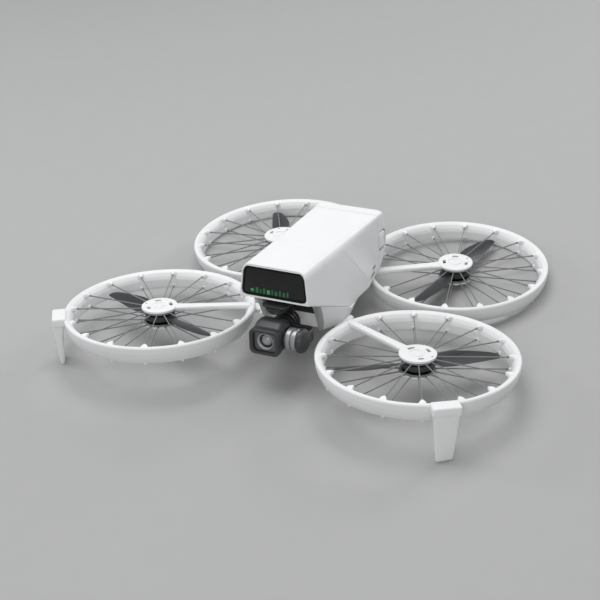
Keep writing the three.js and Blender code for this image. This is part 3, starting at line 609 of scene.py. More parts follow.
WINDOW_SIDE = [(16.8, 23.45), (19.3, 24.0), (20.0, 26.2), (18.8, 37.6), (17.9, 39.6), (16.4, 40.9)]
NOSE_LEAN = 0.0357     # the nose's face leans back by this much for each millimetre upwards
NOSE_MIDDLE = 32.4     # height at which depths into the nose are measured
NOSE_FACE = shift(0, -NOSE_LEAN * NOSE_MIDDLE, 0) @ basis(X, Z + NOSE_LEAN * Y, -Y)


def window_outline(smaller=0.0):
    left = [(-x, z) for x, z in reversed(WINDOW_SIDE)]
    return offset(fillet([*WINDOW_SIDE, *left], 1.6, 5), smaller)


# Each port: name, y, z, length and height.
PORTS = [("usb_port", 19.4, 9.9, 6.2, 2.2), ("card_slot", 15.4, 6.7, 9.2, 2.2)]
LATCH = dict(y=34.2, z=22.5, length=9.6, height=10.8)
LIP_TOP = 8.9          # upper edge of the tail lip under the battery cap
BUTTON = dict(y=10, z=29, radius=4.2, face=21.4)
OPENING = dict(half=17.5, front=-62.8, roof=25)      # cut in the shell above the base


def latch_outline(bigger):
    half_y, half_z = LATCH["length"] / 2 + bigger, LATCH["height"] / 2 + bigger
    return rectangle(LATCH["y"] - half_y, LATCH["y"] + half_y, LATCH["z"] - half_z,
                     LATCH["z"] + half_z, 2.2 + bigger, 6)


def cavity():
    """The hollow of the body: the hull drawn smaller about its middle by the wall's thickness."""
    middle = Vector((0, -16, 24))
    shrink = Matrix.Translation(middle) @ Matrix.Diagonal((0.92, 0.968, 0.9, 1))
    draft = hull()
    draft.points = [shrink @ (p - middle) for p in draft.points]
    return draft


def block(x0, x1, y0, y1, z0, z1, radius=0.0, edge=0.0):
    """A box with rounded upright edges and rounded rims."""
    return slab(Draft(), rectangle(x0, x1, y0, y1, radius), z0, z1, edge)


def half_hull(front):
    """One end of the hull, hollow and cut off at the battery seam."""
    piece = bare(hull())
    away = (SEAM_Y - GAP / 2, 70) if front else (-90, SEAM_Y + GAP / 2)
    cuts = [cavity(), block(-40, 40, *away, -20, 70)]
    if not front:
        cuts.append(block(-40, 40, -90, 70, -20, LIP_TOP + GAP))
    carve(piece, cuts)
    return piece


def sideways(side):
    """Outlines drawn as (y, z), thickness towards that side."""
    return basis(Y, Z, X * side)


def crease_groove(side):
    """A shallow line down the side wall, tapered at both ends."""
    draft, loops, steps = Draft(), [], 24
    for k in range(steps + 1):
        t = k / steps
        y, z = lerp(-21.6, 1.5, t), lerp(37.2, 12.2, t)
        radius = 0.24 * math.sin(math.pi * lerp(0.06, 0.94, t)) ** 0.4
        middle = Vector(((half_width(y, z) + 0.04) * side, y, z))
        loops.append([middle + X * p.x + (Y * 0.73 + Z * 0.68) * p.y for p in circle(radius, 10)])
    return draft.skin(loops)


def build_shell():
    """Front half of the hull, with room for the window, the ports and the button."""
    shell = half_hull(True)
    half, front, top = OPENING.values()
    opening = block(-half, half, front, 60, -9, top, 1.5, 0.2)
    window = Draft()
    loops = [raised(window_outline(-grow), depth) for depth, grow in
             ((60, 0), (69.7, 0), (69.9, 0.08), (70.1, 0.2), (73, 0.3))]
    window.skin(loops, NOSE_FACE)
    cuts = [opening, window, crease_groove(1), crease_groove(-1)]
    for _, y, z, length, height in PORTS:
        half_y, half_z = length / 2 + GAP, height / 2 + GAP
        outline = rectangle(y - half_y, y + half_y, z - half_z, z + half_z, 1.2, 4)
        cuts.append(slab(Draft(), outline, 17, 26, 0.1, SIDEWAYS))
    well = circle(BUTTON["radius"] + GAP, 48, BUTTON["y"], BUTTON["z"])
    cuts.append(slab(Draft(), well, 17, 26, 0.1, sideways(-1)))
    carve(shell, cuts)
    shell.name = "upper_shell_detail"
    adopt(shell, "body", "white_shell", "upper_shell")


def build_battery():
    """Rear half of the hull as the battery's cap, and the dark pack in front of it."""
    cap = half_hull(False)
    pockets = [slab(Draft(), latch_outline(0.85), 17.4, 26, 0.1, sideways(side))
               for side in (1, -1)]
    carve(cap, pockets)
    cap.name = "battery_cap"
    adopt(cap, "battery", "white_shell")
    pack = slab(Draft(), rectangle(-17.2, 17.2, 9.2, 36.6, 3), -29.2, 24, 0.8, FORWARDS)
    slab(pack, rectangle(-17.0, 17.0, 9.6, 37.0, 3), -39, -28.4, 2.5, FORWARDS)
    make("battery_block", pack, "battery", DARK, "white_shell", "battery_pack")


def build_latches():
    for side, name in ((1, "left"), (-1, "right")):
        tab = slab(Draft(), latch_outline(-0.1), 18.9, 21.5, 1.0, sideways(side), 5)
        for k in range(4):
            z = LATCH["z"] - 2.7 + 1.8 * k
            ridge = rectangle(LATCH["y"] - 2.6, LATCH["y"] + 2.6, z - 0.35, z + 0.35, 0.3)
            slab(tab, ridge, 21.2, 21.75, 0.2, sideways(side))
        make(f"{name}_latch_tab", tab, f"{name}_latch", WHITE, "white_shell",
             f"battery_latch_{name}")
        # Near-black rim in the gap round the tab: painted shadow.
        surround = Draft()
        steps = [(0.8, 17.5), (0.8, 20.5), (0.75, 20.6), (0.15, 20.6), (0.05, 20.5), (0.05, 17.5)]
        loops = [raised(latch_outline(grow), depth) for grow, depth in steps]
        surround.skin(loops, sideways(side), ring=True)
        make(f"{name}_latch_surround", surround, "battery", SHADOW, "dark_plastic")


def build_button_and_ports():
    button = Draft()
    middle = shift(0, BUTTON["y"], BUTTON["z"]) @ sideways(-1)
    radius, face = BUTTON["radius"], BUTTON["face"]
    lathe(button, [(0, 19.2), (radius, 19.2), (radius, face), (radius - 1, face),
                   (radius - 1.6, face - 0.35), (0, face - 0.35)], 0.3, middle)
    make("power_button_cap", button, "button", WHITE, "white_shell", "power_button")
    for name, y, z, length, height in PORTS:
        insert = Draft()
        outline = rectangle(y - length / 2, y + length / 2, z - height / 2, z + height / 2, 1, 4)
        slab(insert, outline, 18.4, 20.4, 0.2, SIDEWAYS)
        tongue = rectangle(y - length / 2 + 1.2, y + length / 2 - 1.2, z - 0.35, z + 0.35, 0.2, 2)
        slab(insert, tongue, 20.2, 21.0, 0.1, SIDEWAYS)
        make(f"{name}_insert", insert, "body", PORT, "dark_plastic", name)


MARK_WIDTHS = [1.7, 0.8, 1.5, 1.8, 0.9, 1.7, 1.2, 1.6, 1.0]
MARK_SPACE, BRIGHT_MARK = 1.0, 3


def build_window():
    """Black frame, smoked pane and a row of plain green lights."""
    rim = Draft()
    outer, inner = window_outline(0.12), window_outline(1.3)
    loops = []
    for grow, depth in ((0, 67.8), (0, 69.5), (0.12, 69.7), (0.4, 69.78)):
        loops.append(raised(offset(outer, grow), depth))
    for shrink, depth in ((0.3, 69.74), (0.1, 69.6), (0, 69.3), (0, 67.8)):
        loops.append(raised(offset(inner, -shrink), depth))
    rim.skin(loops, NOSE_FACE, ring=True)
    make("window_bezel", rim, "body", BEZEL, "black_window", "front_window")
    pane = slab(Draft(), window_outline(1.35), 67.9, 69.4, 0.12, NOSE_FACE)
    make("window_pane", pane, "body", PANE, "black_window")
    bright, dim = Draft(), Draft()
    back, front = 69.3, 69.47
    slab(bright, rectangle(-14.5, -12.5, 25.9, 27.6, 0.7), back, front, 0.05, NOSE_FACE)
    x = -11.4
    for i, width in enumerate(MARK_WIDTHS):
        mark = rectangle(x, x + width, 25.4, 28.6 - 0.7 * (i % 2), 0.35)
        slab(bright if i == BRIGHT_MARK else dim, mark, back, front, 0.05, NOSE_FACE)
        x += width + MARK_SPACE
    make("light_bars_bright", bright, "body", GREEN, "green_light", "indicator_strip")
    make("light_bars_dim", dim, "body", GREEN_DIM, "green_light")


# ------------------------------------------------------------------ lower body
BAY = dict(half=16, front=-72, back=-41, roof=22.8)       # room for the gimbal
KNUCKLE = 3.5          # half length of the knuckle on a fold pin
CHEEK = 3.2            # length of the fixed boss on each side of it
# Plan of the base at some heights: z, front y, rear y, half widths at the nose, middle and rear.
BASE = [(-4.4, -45.5, -7, 18.0, 21.8, 17.6), (-3.4, -46.6, -5, 19.2, 23.8, 19.2),
        (-1.6, -47.6, -2.5, 20.0, 25.4, 20.6), (2, -48.6, 1.5, 21.0, 26.4, 21.8),
        (9, -51.5, 4, 21.6, 26.4, 22.2), (18, -56, 6, 22.2, 26, 22.4)]
SENSOR = dict(y=-20, half_width=8, half_length=4.5)
CORE_HALF = 17.2       # half width of the base's inner blocks
FIT = 0.12             # clearance of the base inside the shell


def base_block():
    """Base under the shell, between the guards."""
    loops = []
    for z, front, rear, nose, middle, tail in BASE:
        side = [(nose - 2, front), (nose, front + 4, 0), (middle, -34, 0), (middle, -24, 0),
                (tail, rear)]
        other_side = [(-x, y, *r) for x, y, *r in reversed(side)]
        loops.append(raised(fillet([*side, *other_side], 2.6, 5), z))
    return Draft().skin(loops)


def under_shell():
    """The space beneath the shell's edge, as a block across the whole width."""
    near = [(y, underside(y) - FIT) for y in (-78, -60, -40, -22, 0, 30)]
    return slab(Draft(), [Vector(p) for p in [*reversed(near), (-78, -30), (30, -30)]], -40, 40,
                0.0, SIDEWAYS)


def across(outline, half, edge=0.0, radius=0.6):
    """A plate of a side-view outline, centred on the middle."""
    return slab(Draft(), fillet(outline, radius, 4), -half, half, edge, SIDEWAYS)


def hinge_sweep(guard):
    """Room that a guard's lug needs as it folds."""
    wedge, steps = [(0, 0)], 12
    for k in range(steps + 1):
        a = lerp(math.radians(-24), guard.fold_angle + math.radians(44), k / steps)
        wedge.append((14 * math.cos(a), 14 * math.sin(a)))
    half = KNUCKLE + GAP
    return slab(Draft(), [Vector(p) for p in wedge], -half, half, 0.0, guard.hinge)


def pin_ends(guard, more=0.0):
    """Ends of a fold pin. The rear end of a front pin is short, so the base hides it."""
    long, short = KNUCKLE + CHEEK - 0.4 + more, KNUCKLE + 1.0 + more
    if guard.leg_angle is None:
        return -long, long
    return (-long, short) if guard.hinge_axis.y > 0 else (-short, long)


def base_parts():
    """Blocks that make up the base: cheeks, belly, tail lip, floor of the bay and bosses."""
    base = bare(base_block())
    carve(base, [under_shell()], "INTERSECT")
    belly = bare(hull())
    half, front, top = OPENING["half"] - FIT, OPENING["front"] + FIT, OPENING["roof"] - 0.1
    carve(belly, [block(-half, half, front, SEAM_Y - 0.1, -9, top, 1.4)], "INTERSECT")
    carve(belly, [cavity()])
    lip = bare(hull())
    carve(lip, [block(-40, 40, SEAM_Y + GAP / 2, 70, -20, LIP_TOP)], "INTERSECT")
    link = block(-17, 17, SEAM_Y - 3, SEAM_Y + 3, 5.6, 8.4, 0.5, 0.2)
    core = across([(-52, 12), (-46, -2), (-6, -2), (-2, 4.6), (-44, 12)], CORE_HALF)
    parts = [base, belly, lip, link, core]
    for guard in GUARDS:
        low, high = pin_ends(guard, 0.4)
        slim = min(-low, high) < KNUCKLE + 2
        spans = [(low, high, 2.1 if slim else 3.3)]
        if slim:
            spans.append((low, -1, 3.3) if -low > high else (1, high, 3.3))
        for start, end, radius in spans:
            parts.append(rod(Draft(), radius, start, end, 0.6, guard.hinge, 40))
        if guard.leg_angle is None:
            x0, x1 = sorted((3.4 * guard.side, guard.hinge_point.x + 2.6 * guard.side))
            y = guard.hinge_point.y
            parts.append(block(x0, x1, y - 7, y + 3.4, -1, 6, 1.2, 0.4))
    return parts


def base_cuts():
    """Room for the gimbal, the sensor window, the guards' lugs and pins, and two screws."""
    room = block(-BAY["half"], BAY["half"], BAY["front"], BAY["back"], -20, BAY["roof"], 2.5, 0.6)
    half_x, half_y = SENSOR["half_width"] + GAP, SENSOR["half_length"] + GAP
    pocket = rectangle(-half_x, half_x, SENSOR["y"] - half_y, SENSOR["y"] + half_y, 1.6)
    cuts = [room, slab(Draft(), pocket, -6, -2.6, 0.0)]
    for guard in GUARDS:
        half = KNUCKLE + GAP
        cuts.append(rod(Draft(), 3.1, -half, half, 0.1, guard.hinge, 32))
        cuts.append(hinge_sweep(guard))
        cuts.append(rod(Draft(), 1.35, -12, 12, 0.05, guard.hinge, 24))
    for side in (1, -1):
        screw = along(Vector((side * 23.2, -23.8, -1.0)), X * side + Z * -0.2, Y)
        cuts.append(rod(Draft(), 0.8, 0, 5, 0.05, screw, 20))
    return cuts


def build_base():
    parts = base_parts()
    walls = bare(across([(-62.5, 22), (-54, 14), (-44, 4), (-39.4, 4), (-39.4, 24.4),
                         (-62.5, 24.4)], CORE_HALF))
    carve(walls, parts, "UNION")
    carve(walls, base_cuts())
    # The walls of the bay that look forwards get painted shade: a grey that stands in for the
    # shade under the nose.
    walls.data.materials.append(BAY_FACE_PAINTED_SHADE)
    for face in walls.data.polygons:
        place = ROW_TO_LEVEL @ face.center
        facing = (ROW_TO_LEVEL.to_3x3() @ face.normal).normalized()
        if place.y < -43 and place.z < 24 and facing.y < -0.45:
            face.material_index = 1
    walls.name = "base_casting"
    adopt(walls, "body", "white_shell", "lower_body")


def build_bay_shade_sheet():
    """Thin near-black sheet over the back and roof of the gimbal bay: painted shade."""
    inset = 0.04
    shade_sheet = bare(block(inset - BAY["half"], BAY["half"] - inset, -61.8, BAY["back"] - inset, 4,
                       BAY["roof"] - inset, 2.4, 0.5), BAY_BACK_PAINTED_SHADE)
    carve(shade_sheet, [block(-20, 20, -75, BAY["back"] - 0.5, -9, BAY["roof"] - 0.2)])
    shade_sheet.name = "bay_shade_sheet"
    adopt(shade_sheet, "body", "dark_plastic")


# ------------------------------------------------------------------ guards
def sector(inner, outer, start, end, steps=10):
    """Outline of a slot bent round the centre."""
    angles = [math.radians(lerp(start, end, k / steps)) for k in range(steps + 1)]
    out = [(outer * math.cos(a), outer * math.sin(a)) for a in angles]
    back = [(inner * math.cos(a), inner * math.sin(a)) for a in reversed(angles)]
    return fillet([*out, *back], 0.3, 2)


RING_PROFILE = [(54.6, 0), (55.9, 0), (RING, -1.0), (56.2, -4.2), (55.3, -7.4), (53.4, -BAND),
                (51.4, -BAND), (51.1, -9.5), (51.0, -4.9), (51.7, -2.9), (53.0, -1.0)]
UPPER_TOOTH = [(53.4, 2.8, -3.6, -0.6), (52.2, 2.2, -3.3, -0.15), (51.2, 1.35, -2.9, -0.05),
               (50.3, 0.85, -2.4, -0.2), (49.7, 0.6, -2.1, -0.5)]
LOWER_TOOTH = [(52.6, 1.9, -10.7, -7.6), (51.3, 1.5, -10.5, -7.7), (50.5, 0.8, -9.9, -7.9),
               (49.85, 0.5, -9.3, -8.1)]


def build_ring(guard):
    ring = lathe(Draft(), RING_PROFILE, 0.9, guard.place, 168)
    for angle in guard.spokes():
        spot = guard.radial(angle)
        bar(ring, UPPER_TOOTH, spot, 5)
        bar(ring, LOWER_TOOTH, spot, 5)
        if (STANCE @ spot @ Vector((53, 0, -11.8))).z > 0.3:
            at_edge = spot @ shift(52.9, 0, 0)
            lathe(ring, [(0, -11.7), (0.7, -11.7), (0.95, -10.2), (0, -10.2)], 0.3, at_edge, 12)
    reach = (guard.wall_point - guard.hinge_point).length
    tube(ring, 1.5, 2.6, -KNUCKLE, KNUCKLE, 0.35, guard.hinge, 40)
    lug = [(1.7, 1.9, -2.9, 2.9), (3.0, 2.0, -2.9, 2.9), (reach * 0.6, 2.0, -2.8, 2.8),
           (reach - 0.6, 2.1, -2.7, 2.7)]
    bar(ring, lug, guard.hinge, 8)
    if guard.leg_angle is not None:
        build_leg(ring, guard)
    make_for(guard, "ring", ring, WHITE_RING, "white_shell", "guard_ring", angle=38)


def build_leg(draft, guard):
    """A block on the rim and a tapered leg down to a sole that lies flat on the ground."""
    frame_at = guard.radial(guard.leg_angle)
    slab(draft, rectangle(54.4, 62.9, -7.8, 7.8, 1.3, 5), -4.4, 1.1, 1.1, frame_at, 5)
    levels = [(-3.2, 56, 62.75, 6.95), (-8, 56.6, 62.35, 6.7), (-11.6, 57.6, 62.1, 6.45),
              (-20, 57.8, 61.5, 5.8)]
    ground = (STANCE @ frame_at).inverted() @ Vector((0, 0, 0))
    up = (STANCE @ frame_at).to_3x3().inverted() @ Z

    def sole(x, y, above):
        """Height in the guard's frame of the point that is that far above the ground."""
        return (up.dot(ground) + above - up.x * x - up.y * y) / up.z

    loops = [raised(rectangle(inner, outer, -half, half, 1.25, 4), z)
             for z, inner, outer, half in levels]
    for above, inset in ((2.0, 0.05), (1.0, 0.25), (0.45, 0.5), (0.12, 0.8), (0.0, 1.05)):
        outline = offset(rectangle(58.05, 60.9, -4.9, 4.9, 1.35, 4), inset)
        loops.append([(p.x, p.y, sole(p.x, p.y, above)) for p in outline])
    draft.skin(loops, frame_at)


def build_arm(guard):
    disc = Draft()
    lathe(disc, [(0, -0.6), (HUB, -0.6), (HUB, 0.75), (4.7, 0.75), (4.5, 0.1), (3.5, 0.1),
                 (3.3, 0.75), (0, 0.75)], 0.15, guard.place, 96)
    piece = make(f"{guard.name}_arm_detail", disc, None, WHITE_RING, None)
    slots = []
    for middle, half in ((-12, 18), (-103, 16), (150, 13)):
        a = math.degrees(guard.turn(guard.arm_angle + middle))
        slots.append(slab(Draft(), sector(5.9, 7.8, a - half, a + half), -2, 2, 0.05,
                          guard.place))
    hole = guard.at(8.6, guard.arm_angle + 200, 0)
    slots.append(slab(Draft(), circle(0.65, 20, hole.x, hole.y), -2, 2, 0.05, guard.place))
    carve(piece, slots)
    beam = Draft()
    end = RING - 2.8
    sections = [(8.4, 3.7), (9.5, 3.55), (12, 3.15), (16, 2.85), (30, 2.6), (end - 3, 2.35),
                (end, 2.4)]
    bar(beam, [(x, half, -2.5 if x > 9 else -1.2, 0.55) for x, half in sections],
        guard.radial(guard.arm_angle), 10)
    bumps = [beam]
    for k in range(3):
        spot = guard.spun(k, 3) @ shift(1.8, 0, 0)
        bumps.append(rod(Draft(), 0.6, 0.4, 1.05, 0.2, spot, 20))
    carve(piece, bumps, "UNION", 34)
    adopt(piece, f"{guard.name}_guard", "white_shell", f"{guard.name}_arm")


def spoke(draft, guard, angle, inner, z):
    """A spoke that thickens a little at both ends."""
    end = 49.6
    sections = [(inner, 0.5, z - 0.5, z + 0.5), (inner + 2.5, 0.29, z - 0.37, z + 0.37),
                (30, 0.26, z - 0.34, z + 0.34), (end - 1.6, 0.29, z - 0.37, z + 0.37),
                (end - 0.9, 0.5, z - 0.55, z + 0.55), (end, 0.45, z - 0.5, z + 0.5)]
    bar(draft, sections, guard.radial(angle), 4)


def build_spokes(guard):
    upper = tube(Draft(), 8.2, 10.2, -1.7, -0.9, 0.15, guard.place, 72)
    lower = tube(Draft(), 9.1, 9.9, -9.1, -8.1, 0.2, guard.place, 72)
    for angle in guard.spokes():
        spoke(upper, guard, angle, 9.4, -1.3)
        spoke(lower, guard, angle, 9.7, -8.6)
    make_for(guard, "upper_spoke_set", upper, SPOKE, "grey_spokes", "upper_spokes")
    make_for(guard, "lower_spoke_set", lower, SPOKE, "grey_spokes", "lower_spokes")


def build_lower_hub(guard):
    """Ring with a scalloped edge where the lower spokes end."""
    count, bumps = 176, 22
    angles = [math.tau * k / count for k in range(count)]

    def wavy(inset):
        radii = [10.9 - inset - 0.6 * abs(math.sin(a * bumps / 2)) for a in angles]
        return [Vector((r * math.cos(a), r * math.sin(a))) for r, a in zip(radii, angles)]

    inner = circle(9.5, count)
    loops = [raised(outline, z) for outline, z in
             ((wavy(0), -9.4), (wavy(0.2), -9.2), (inner, -9.2), (inner, -10.1),
              (wavy(0.2), -10.1), (wavy(0), -9.9))]
    ring = Draft().skin(loops, guard.place, ring=True)
    for k in range(3):
        clip = [(x, 0.6, -10.0, -8.6) for x in (9.3, 10.1)]
        bar(ring, clip, guard.spun(k, 3), 4)
    make_for(guard, "lower_hub_ring", ring, HUB_RING, "white_shell")


def build_motor(guard):
    stator = Draft()
    lathe(stator, [(0, -0.9), (7.6, -0.9), (7.6, -1.9), (4.0, -2.2), (4.0, -6.4), (1, -6.4),
                   (1, -8.1), (8.9, -8.1), (8.9, -9.1), (4, -9.1), (3.6, -8.9), (0, -8.9)], 0.2,
          guard.place, 48)
    for k in range(3):
        spot = guard.spun(k, 3) @ shift(6.4, 0, 0)
        rod(stator, 0.8, -9.35, -8.8, 0.15, spot, 16)
    make_for(guard, "stator_detail", stator, MOTOR, "motor_black", "motor_stator")
    coils = Draft()
    for k in range(9):
        spot = guard.spun(k, 9) @ SIDEWAYS
        slab(coils, rectangle(-1.15, 1.15, -5.9, -2.9, 0.5, 3), 3.8, 5.2, 0.3, spot)
    make_for(guard, "coils", coils, COPPER, "motor_black")
    bell = Draft()
    lathe(bell, [(5.7, -2.9), (6.8, -2.9), (6.8, -6.9), (5.7, -7.7), (1.4, -7.7), (1.4, -6.9),
                 (5.7, -6.9)], 0.25, guard.place, 48)
    make_for(guard, "bell_detail", bell, MOTOR, "motor_black", "motor_bell", body="rotor")


# Sections of a blade from hub to tip: radius, chord, forward sweep, pitch and thickness.
BLADE = [(7.9, 5.4, 0, 26, 1.5), (10, 7.2, 0.3, 25, 1.25), (14, 10.5, 0.6, 22, 1.1),
         (19, 11.8, 1.1, 19, 1.0), (24, 12, 1.4, 16, 0.95), (30, 11, 1.3, 13, 0.85),
         (36, 9.4, 1, 11, 0.75), (41, 7.6, 0.6, 9, 0.6), (44, 6.2, 0.2, 8, 0.5),
         (45.6, 4.7, -0.3, 7.5, 0.4), (46.4, 2.6, -0.8, 7, 0.25)]
BLADE_LEVEL = -4.95


def blade_section(side, radius, chord, sweep, pitch, thick):
    """A cambered section, thicker towards the leading edge, tilted by its pitch."""
    loop = []
    tilt = math.radians(pitch) * side
    for k in range(20):
        a = math.tau * k / 20
        run = 0.5 * math.cos(a)
        camber = 0.06 * chord * (0.25 - run * run)
        ahead, up = run * chord, 0.5 * math.sin(a) * (0.65 + 0.5 * run) * thick + camber
        loop.append((radius, side * sweep + ahead * math.cos(tilt) - up * math.sin(tilt),
                     BLADE_LEVEL + ahead * math.sin(tilt) + up * math.cos(tilt)))
    return loop


def build_propeller(guard):
    prop = tube(Draft(), 7.1, 8.8, -6.9, -3.6, 0.35, guard.place, 48)
    for start in (0, 180):
        spin = guard.place @ Matrix.Rotation(math.radians(start + guard.blade_angle), 4, "Z")
        prop.skin([blade_section(guard.side, *station) for station in BLADE], spin)
    make_for(guard, "propeller_detail", prop, PROP, "propeller", "propeller", body="rotor")


def build_pin(guard):
    pin = rod(Draft(), 1.2, *pin_ends(guard), 0.25, guard.hinge, 32)
    make(f"{guard.name}_pin_detail", pin, "body", STEEL, "steel", f"{guard.name}_hinge_pin")


# ------------------------------------------------------------------ gimbal and camera
AXIS = Vector((0, -73.5, 2.7))     # where the camera's tilt axis crosses the middle
PAN_Y = -67                        # pan axis
PAN_ARM = dict(low=14.8, high=16, front=-54.3, back=-51.3)
YOKE = dict(back=-60.4, front=-62.6, inner=18.2, outer=21)


LENS_AXIS = shift(0, 0, AXIS.z) @ FORWARDS      # outlines drawn about it, as (x, z)
TILT_AXIS = along(AXIS, X, Y)


def build_gimbal_mount():
    """Plate under the shell's roof, its four dampers and the pan motor."""
    plate = slab(Draft(), rectangle(-14.5, 14.5, -61.5, -46, 2, 5), 18.5, 19.5, 0.3)
    slab(plate, rectangle(-8, 8, -72.5, -60, 4, 6), 18.5, 19.5, 0.3)
    corners = [(x, y) for y in (-50, -58.6) for x in (-11.5, 11.5)]
    for x, y in corners:
        rod(plate, 2.2, 19.3, 19.75, 0.15, shift(x, y, 0), 24)
    make("gimbal_plate", plate, "body", DARK, "dark_plastic", "gimbal_mount")
    for i, (x, y) in enumerate(corners):
        ball = Draft()
        lathe(ball, [(0, 19.8), (1.4, 19.8), (2.3, 20.6), (2.3, 21.7), (1.4, 22.5), (0, 22.5)],
              0.5, shift(x, y, 0), 24)
        make(f"damper_{i + 1}", ball, "body", RUBBER, "rubber", f"gimbal_damper_{i + 1}")
    motor = Draft()
    lathe(motor, [(0, 16.3), (6.4, 16.3), (6.4, 17.0), (6.1, 17.15), (6.1, 17.35), (6.4, 17.5),
                  (6.4, 18.2), (0, 18.2)], 0.2, shift(0, PAN_Y, 0), 64)
    make("pan_motor_can", motor, "body", DARK, "gimbal_grey", "pan_motor")


def build_gimbal_arms():
    """Pan arm with the roll motor, and the yoke that holds the tilt motor."""
    arm = Draft()
    at_pan = shift(0, PAN_Y, 0)
    rod(arm, 5.2, PAN_ARM["low"], PAN_ARM["high"], 0.4, at_pan, 56)
    low, high, front, back = PAN_ARM.values()
    outline = fillet([(PAN_Y, low), (front, low, 1.2), (front, 3), (back, 3), (back, high, 3.2),
                      (PAN_Y, high)], 0.4, 6)
    slab(arm, outline, -4, 4, 0.35, SIDEWAYS)
    rod(arm, 7.2, -back, -front, 0.7, LENS_AXIS, 72)
    make("pan_arm_casting", arm, "pan", GIMBAL, "gimbal_grey", "pan_arm")
    roll = Draft()
    lathe(roll, [(0, 54.9), (6.8, 54.9), (6.8, 56.0), (6.3, 56.3), (6.3, 57.4), (6.8, 57.7),
                 (6.8, 60.1), (0, 60.1)], 0.2, LENS_AXIS, 72)
    make("roll_motor_can", roll, "pan", GIMBAL, "gimbal_grey", "roll_motor")

    yoke = Draft()
    back, front, inner, outer = YOKE.values()
    rod(yoke, 6.4, -back, -front, 0.5, LENS_AXIS, 64)
    plan = fillet([(0, front), (inner, front, 0.8), (inner, AXIS.y), (outer, AXIS.y),
                   (outer, back, 4.2), (0, back)], 0.9, 8)
    slab(yoke, plan, AXIS.z - 3.6, AXIS.z + 3.6, 0.8, Matrix(), 4)
    cup = [(0, 17.2), (7.0, 17.2), (7.2, 17.7), (7.1, 19.0), (6.4, 20.4), (5.0, 21.4), (3.0, 21.9),
           (0, 22.0)]
    lathe(yoke, cup, 0.8, TILT_AXIS, 72, 5)
    make("roll_yoke", yoke, "roll", HOUSING, "gimbal_grey", "roll_arm")
    rims = Draft()
    lathe(rims, [(0, 10.3), (6.0, 10.3), (6.5, 10.7), (6.5, 13.0), (6.0, 13.3), (5.3, 13.4),
                 (5.3, 13.9), (6.0, 14.0), (6.5, 14.3), (6.5, 16.4), (6.0, 16.9), (0, 16.9)], 0.15,
          TILT_AXIS, 72)
    make("tilt_motor_rims", rims, "roll", BRIGHT, "bright_rims", "tilt_motor")


def build_camera_shell():
    box = Draft()
    side_view = [(-6.7, -7.2, 0.8), (-1, -7.5, 3), (4.6, -6.1, 3), (7.2, -2.4, 3), (7.3, 1.8, 3),
                 (6.5, 6.6, 3), (4.4, 9.1, 3), (2.0, 9.9, 3), (-2.4, 9.9, 4), (-6.7, 7.7, 0.8)]
    path = fillet(side_view, 1, 4)
    half, rows = 9.2, 30
    centre, middle = Vector((0.2, 0.6)), Vector((0.2 + AXIS.y, 0.6 + AXIS.z))
    loops = []
    for k in range(rows + 1):
        x = lerp(-half, half, 0.5 - 0.5 * math.cos(math.pi * k / rows))
        scale = 1 - rounding(half - abs(x), 4.4, 3.6) / 8.2
        loops.append([(x, *(middle + (p - centre) * scale)) for p in path])
    box.skin(loops)
    body = make("camera_shell", box, None, HOUSING, None)
    carve(body, [rod(Draft(), 5, 6, 9.95, 0.3, TILT_AXIS, 48)], "UNION")
    carve(body, [rod(Draft(), 5.3, 76, 84, 0.05, LENS_AXIS, 48)])
    adopt(body, "camera", "gimbal_grey", "camera_housing")


def square(half_w, half_h, radius):
    """A rounded rectangle centred on the lens."""
    return rectangle(-half_w, half_w, -half_h, half_h, radius, 5)


def build_lens():
    """Hood round the front of the camera, the insert inside it, and the lens."""
    hood = Draft()
    steps = [(9.2, 7.6, 3.2, 80.5), (9.2, 7.6, 3.2, 83.6), (9.05, 7.45, 3.1, 84.15),
             (8.7, 7.1, 2.9, 84.4), (7.2, 6.15, 2.4, 84.4), (6.95, 5.95, 2.2, 84.25),
             (6.9, 5.9, 2.2, 83.2), (6.95, 5.95, 2.2, 81.6), (6.9, 5.9, 2.2, 80.5)]
    loops = [raised(square(w, h, r), depth) for w, h, r, depth in steps]
    hood.skin(loops, LENS_AXIS, ring=True)
    make("camera_hood_frame", hood, "camera", HOUSING, "dark_plastic", "camera_hood", angle=40)
    insert = Draft()
    edges = [raised(square(6.75 - inset, 5.75 - inset, 2.1), depth)
             for inset, depth in ((0, 80.5), (0, 82.2), (0.3, 82.4), (0.8, 82.4), (0.9, 82.1))]
    rim = [p.normalized() for p in square(5.9, 5.4, 4.6)]
    edges += [[(radius * p.x, radius * p.y, depth) for p in rim]
              for radius, depth in ((5.05, 82.1), (4.95, 82.0), (4.9, 80.5))]
    insert.skin(edges, LENS_AXIS, ring=True)
    make("camera_insert", insert, "camera", INSERT, "dark_plastic", angle=40)
    # Light funnel ring inside the hood: painted light.
    funnel = lathe(Draft(), [(4.3, 80.5), (4.8, 81.9), (4.85, 82.35), (4.6, 82.35), (4.35, 81.4),
                             (4.2, 80.6)], 0.05, LENS_AXIS, 72)
    make("lens_funnel", funnel, "camera", FUNNEL_PAINTED_LIGHT, "dark_plastic")
    barrel = Draft()
    lathe(barrel, [(3.0, 77), (4.3, 77), (4.3, 80.2), (4.1, 80.45), (3.65, 80.45), (3.5, 80.2),
                   (3.5, 79.0), (3.0, 79.0)], 0.12, LENS_AXIS, 64)
    make("lens_ring", barrel, "camera", DARK, "dark_plastic", "lens_barrel")
    # Glass in a lifted mid grey: painted reflection.
    glass = Draft()
    lathe(glass, [(0, 77.4), (2.75, 77.4), (2.75, 78.9), (3.4, 79.4), (3.2, 80.4), (2.4, 81.4),
                  (1.2, 82.0), (0, 82.1)], 1.0, LENS_AXIS, 64, 6)
    make("lens_dome", glass, "camera", LENS_PAINTED_REFLECTION, "lens", "lens_glass")


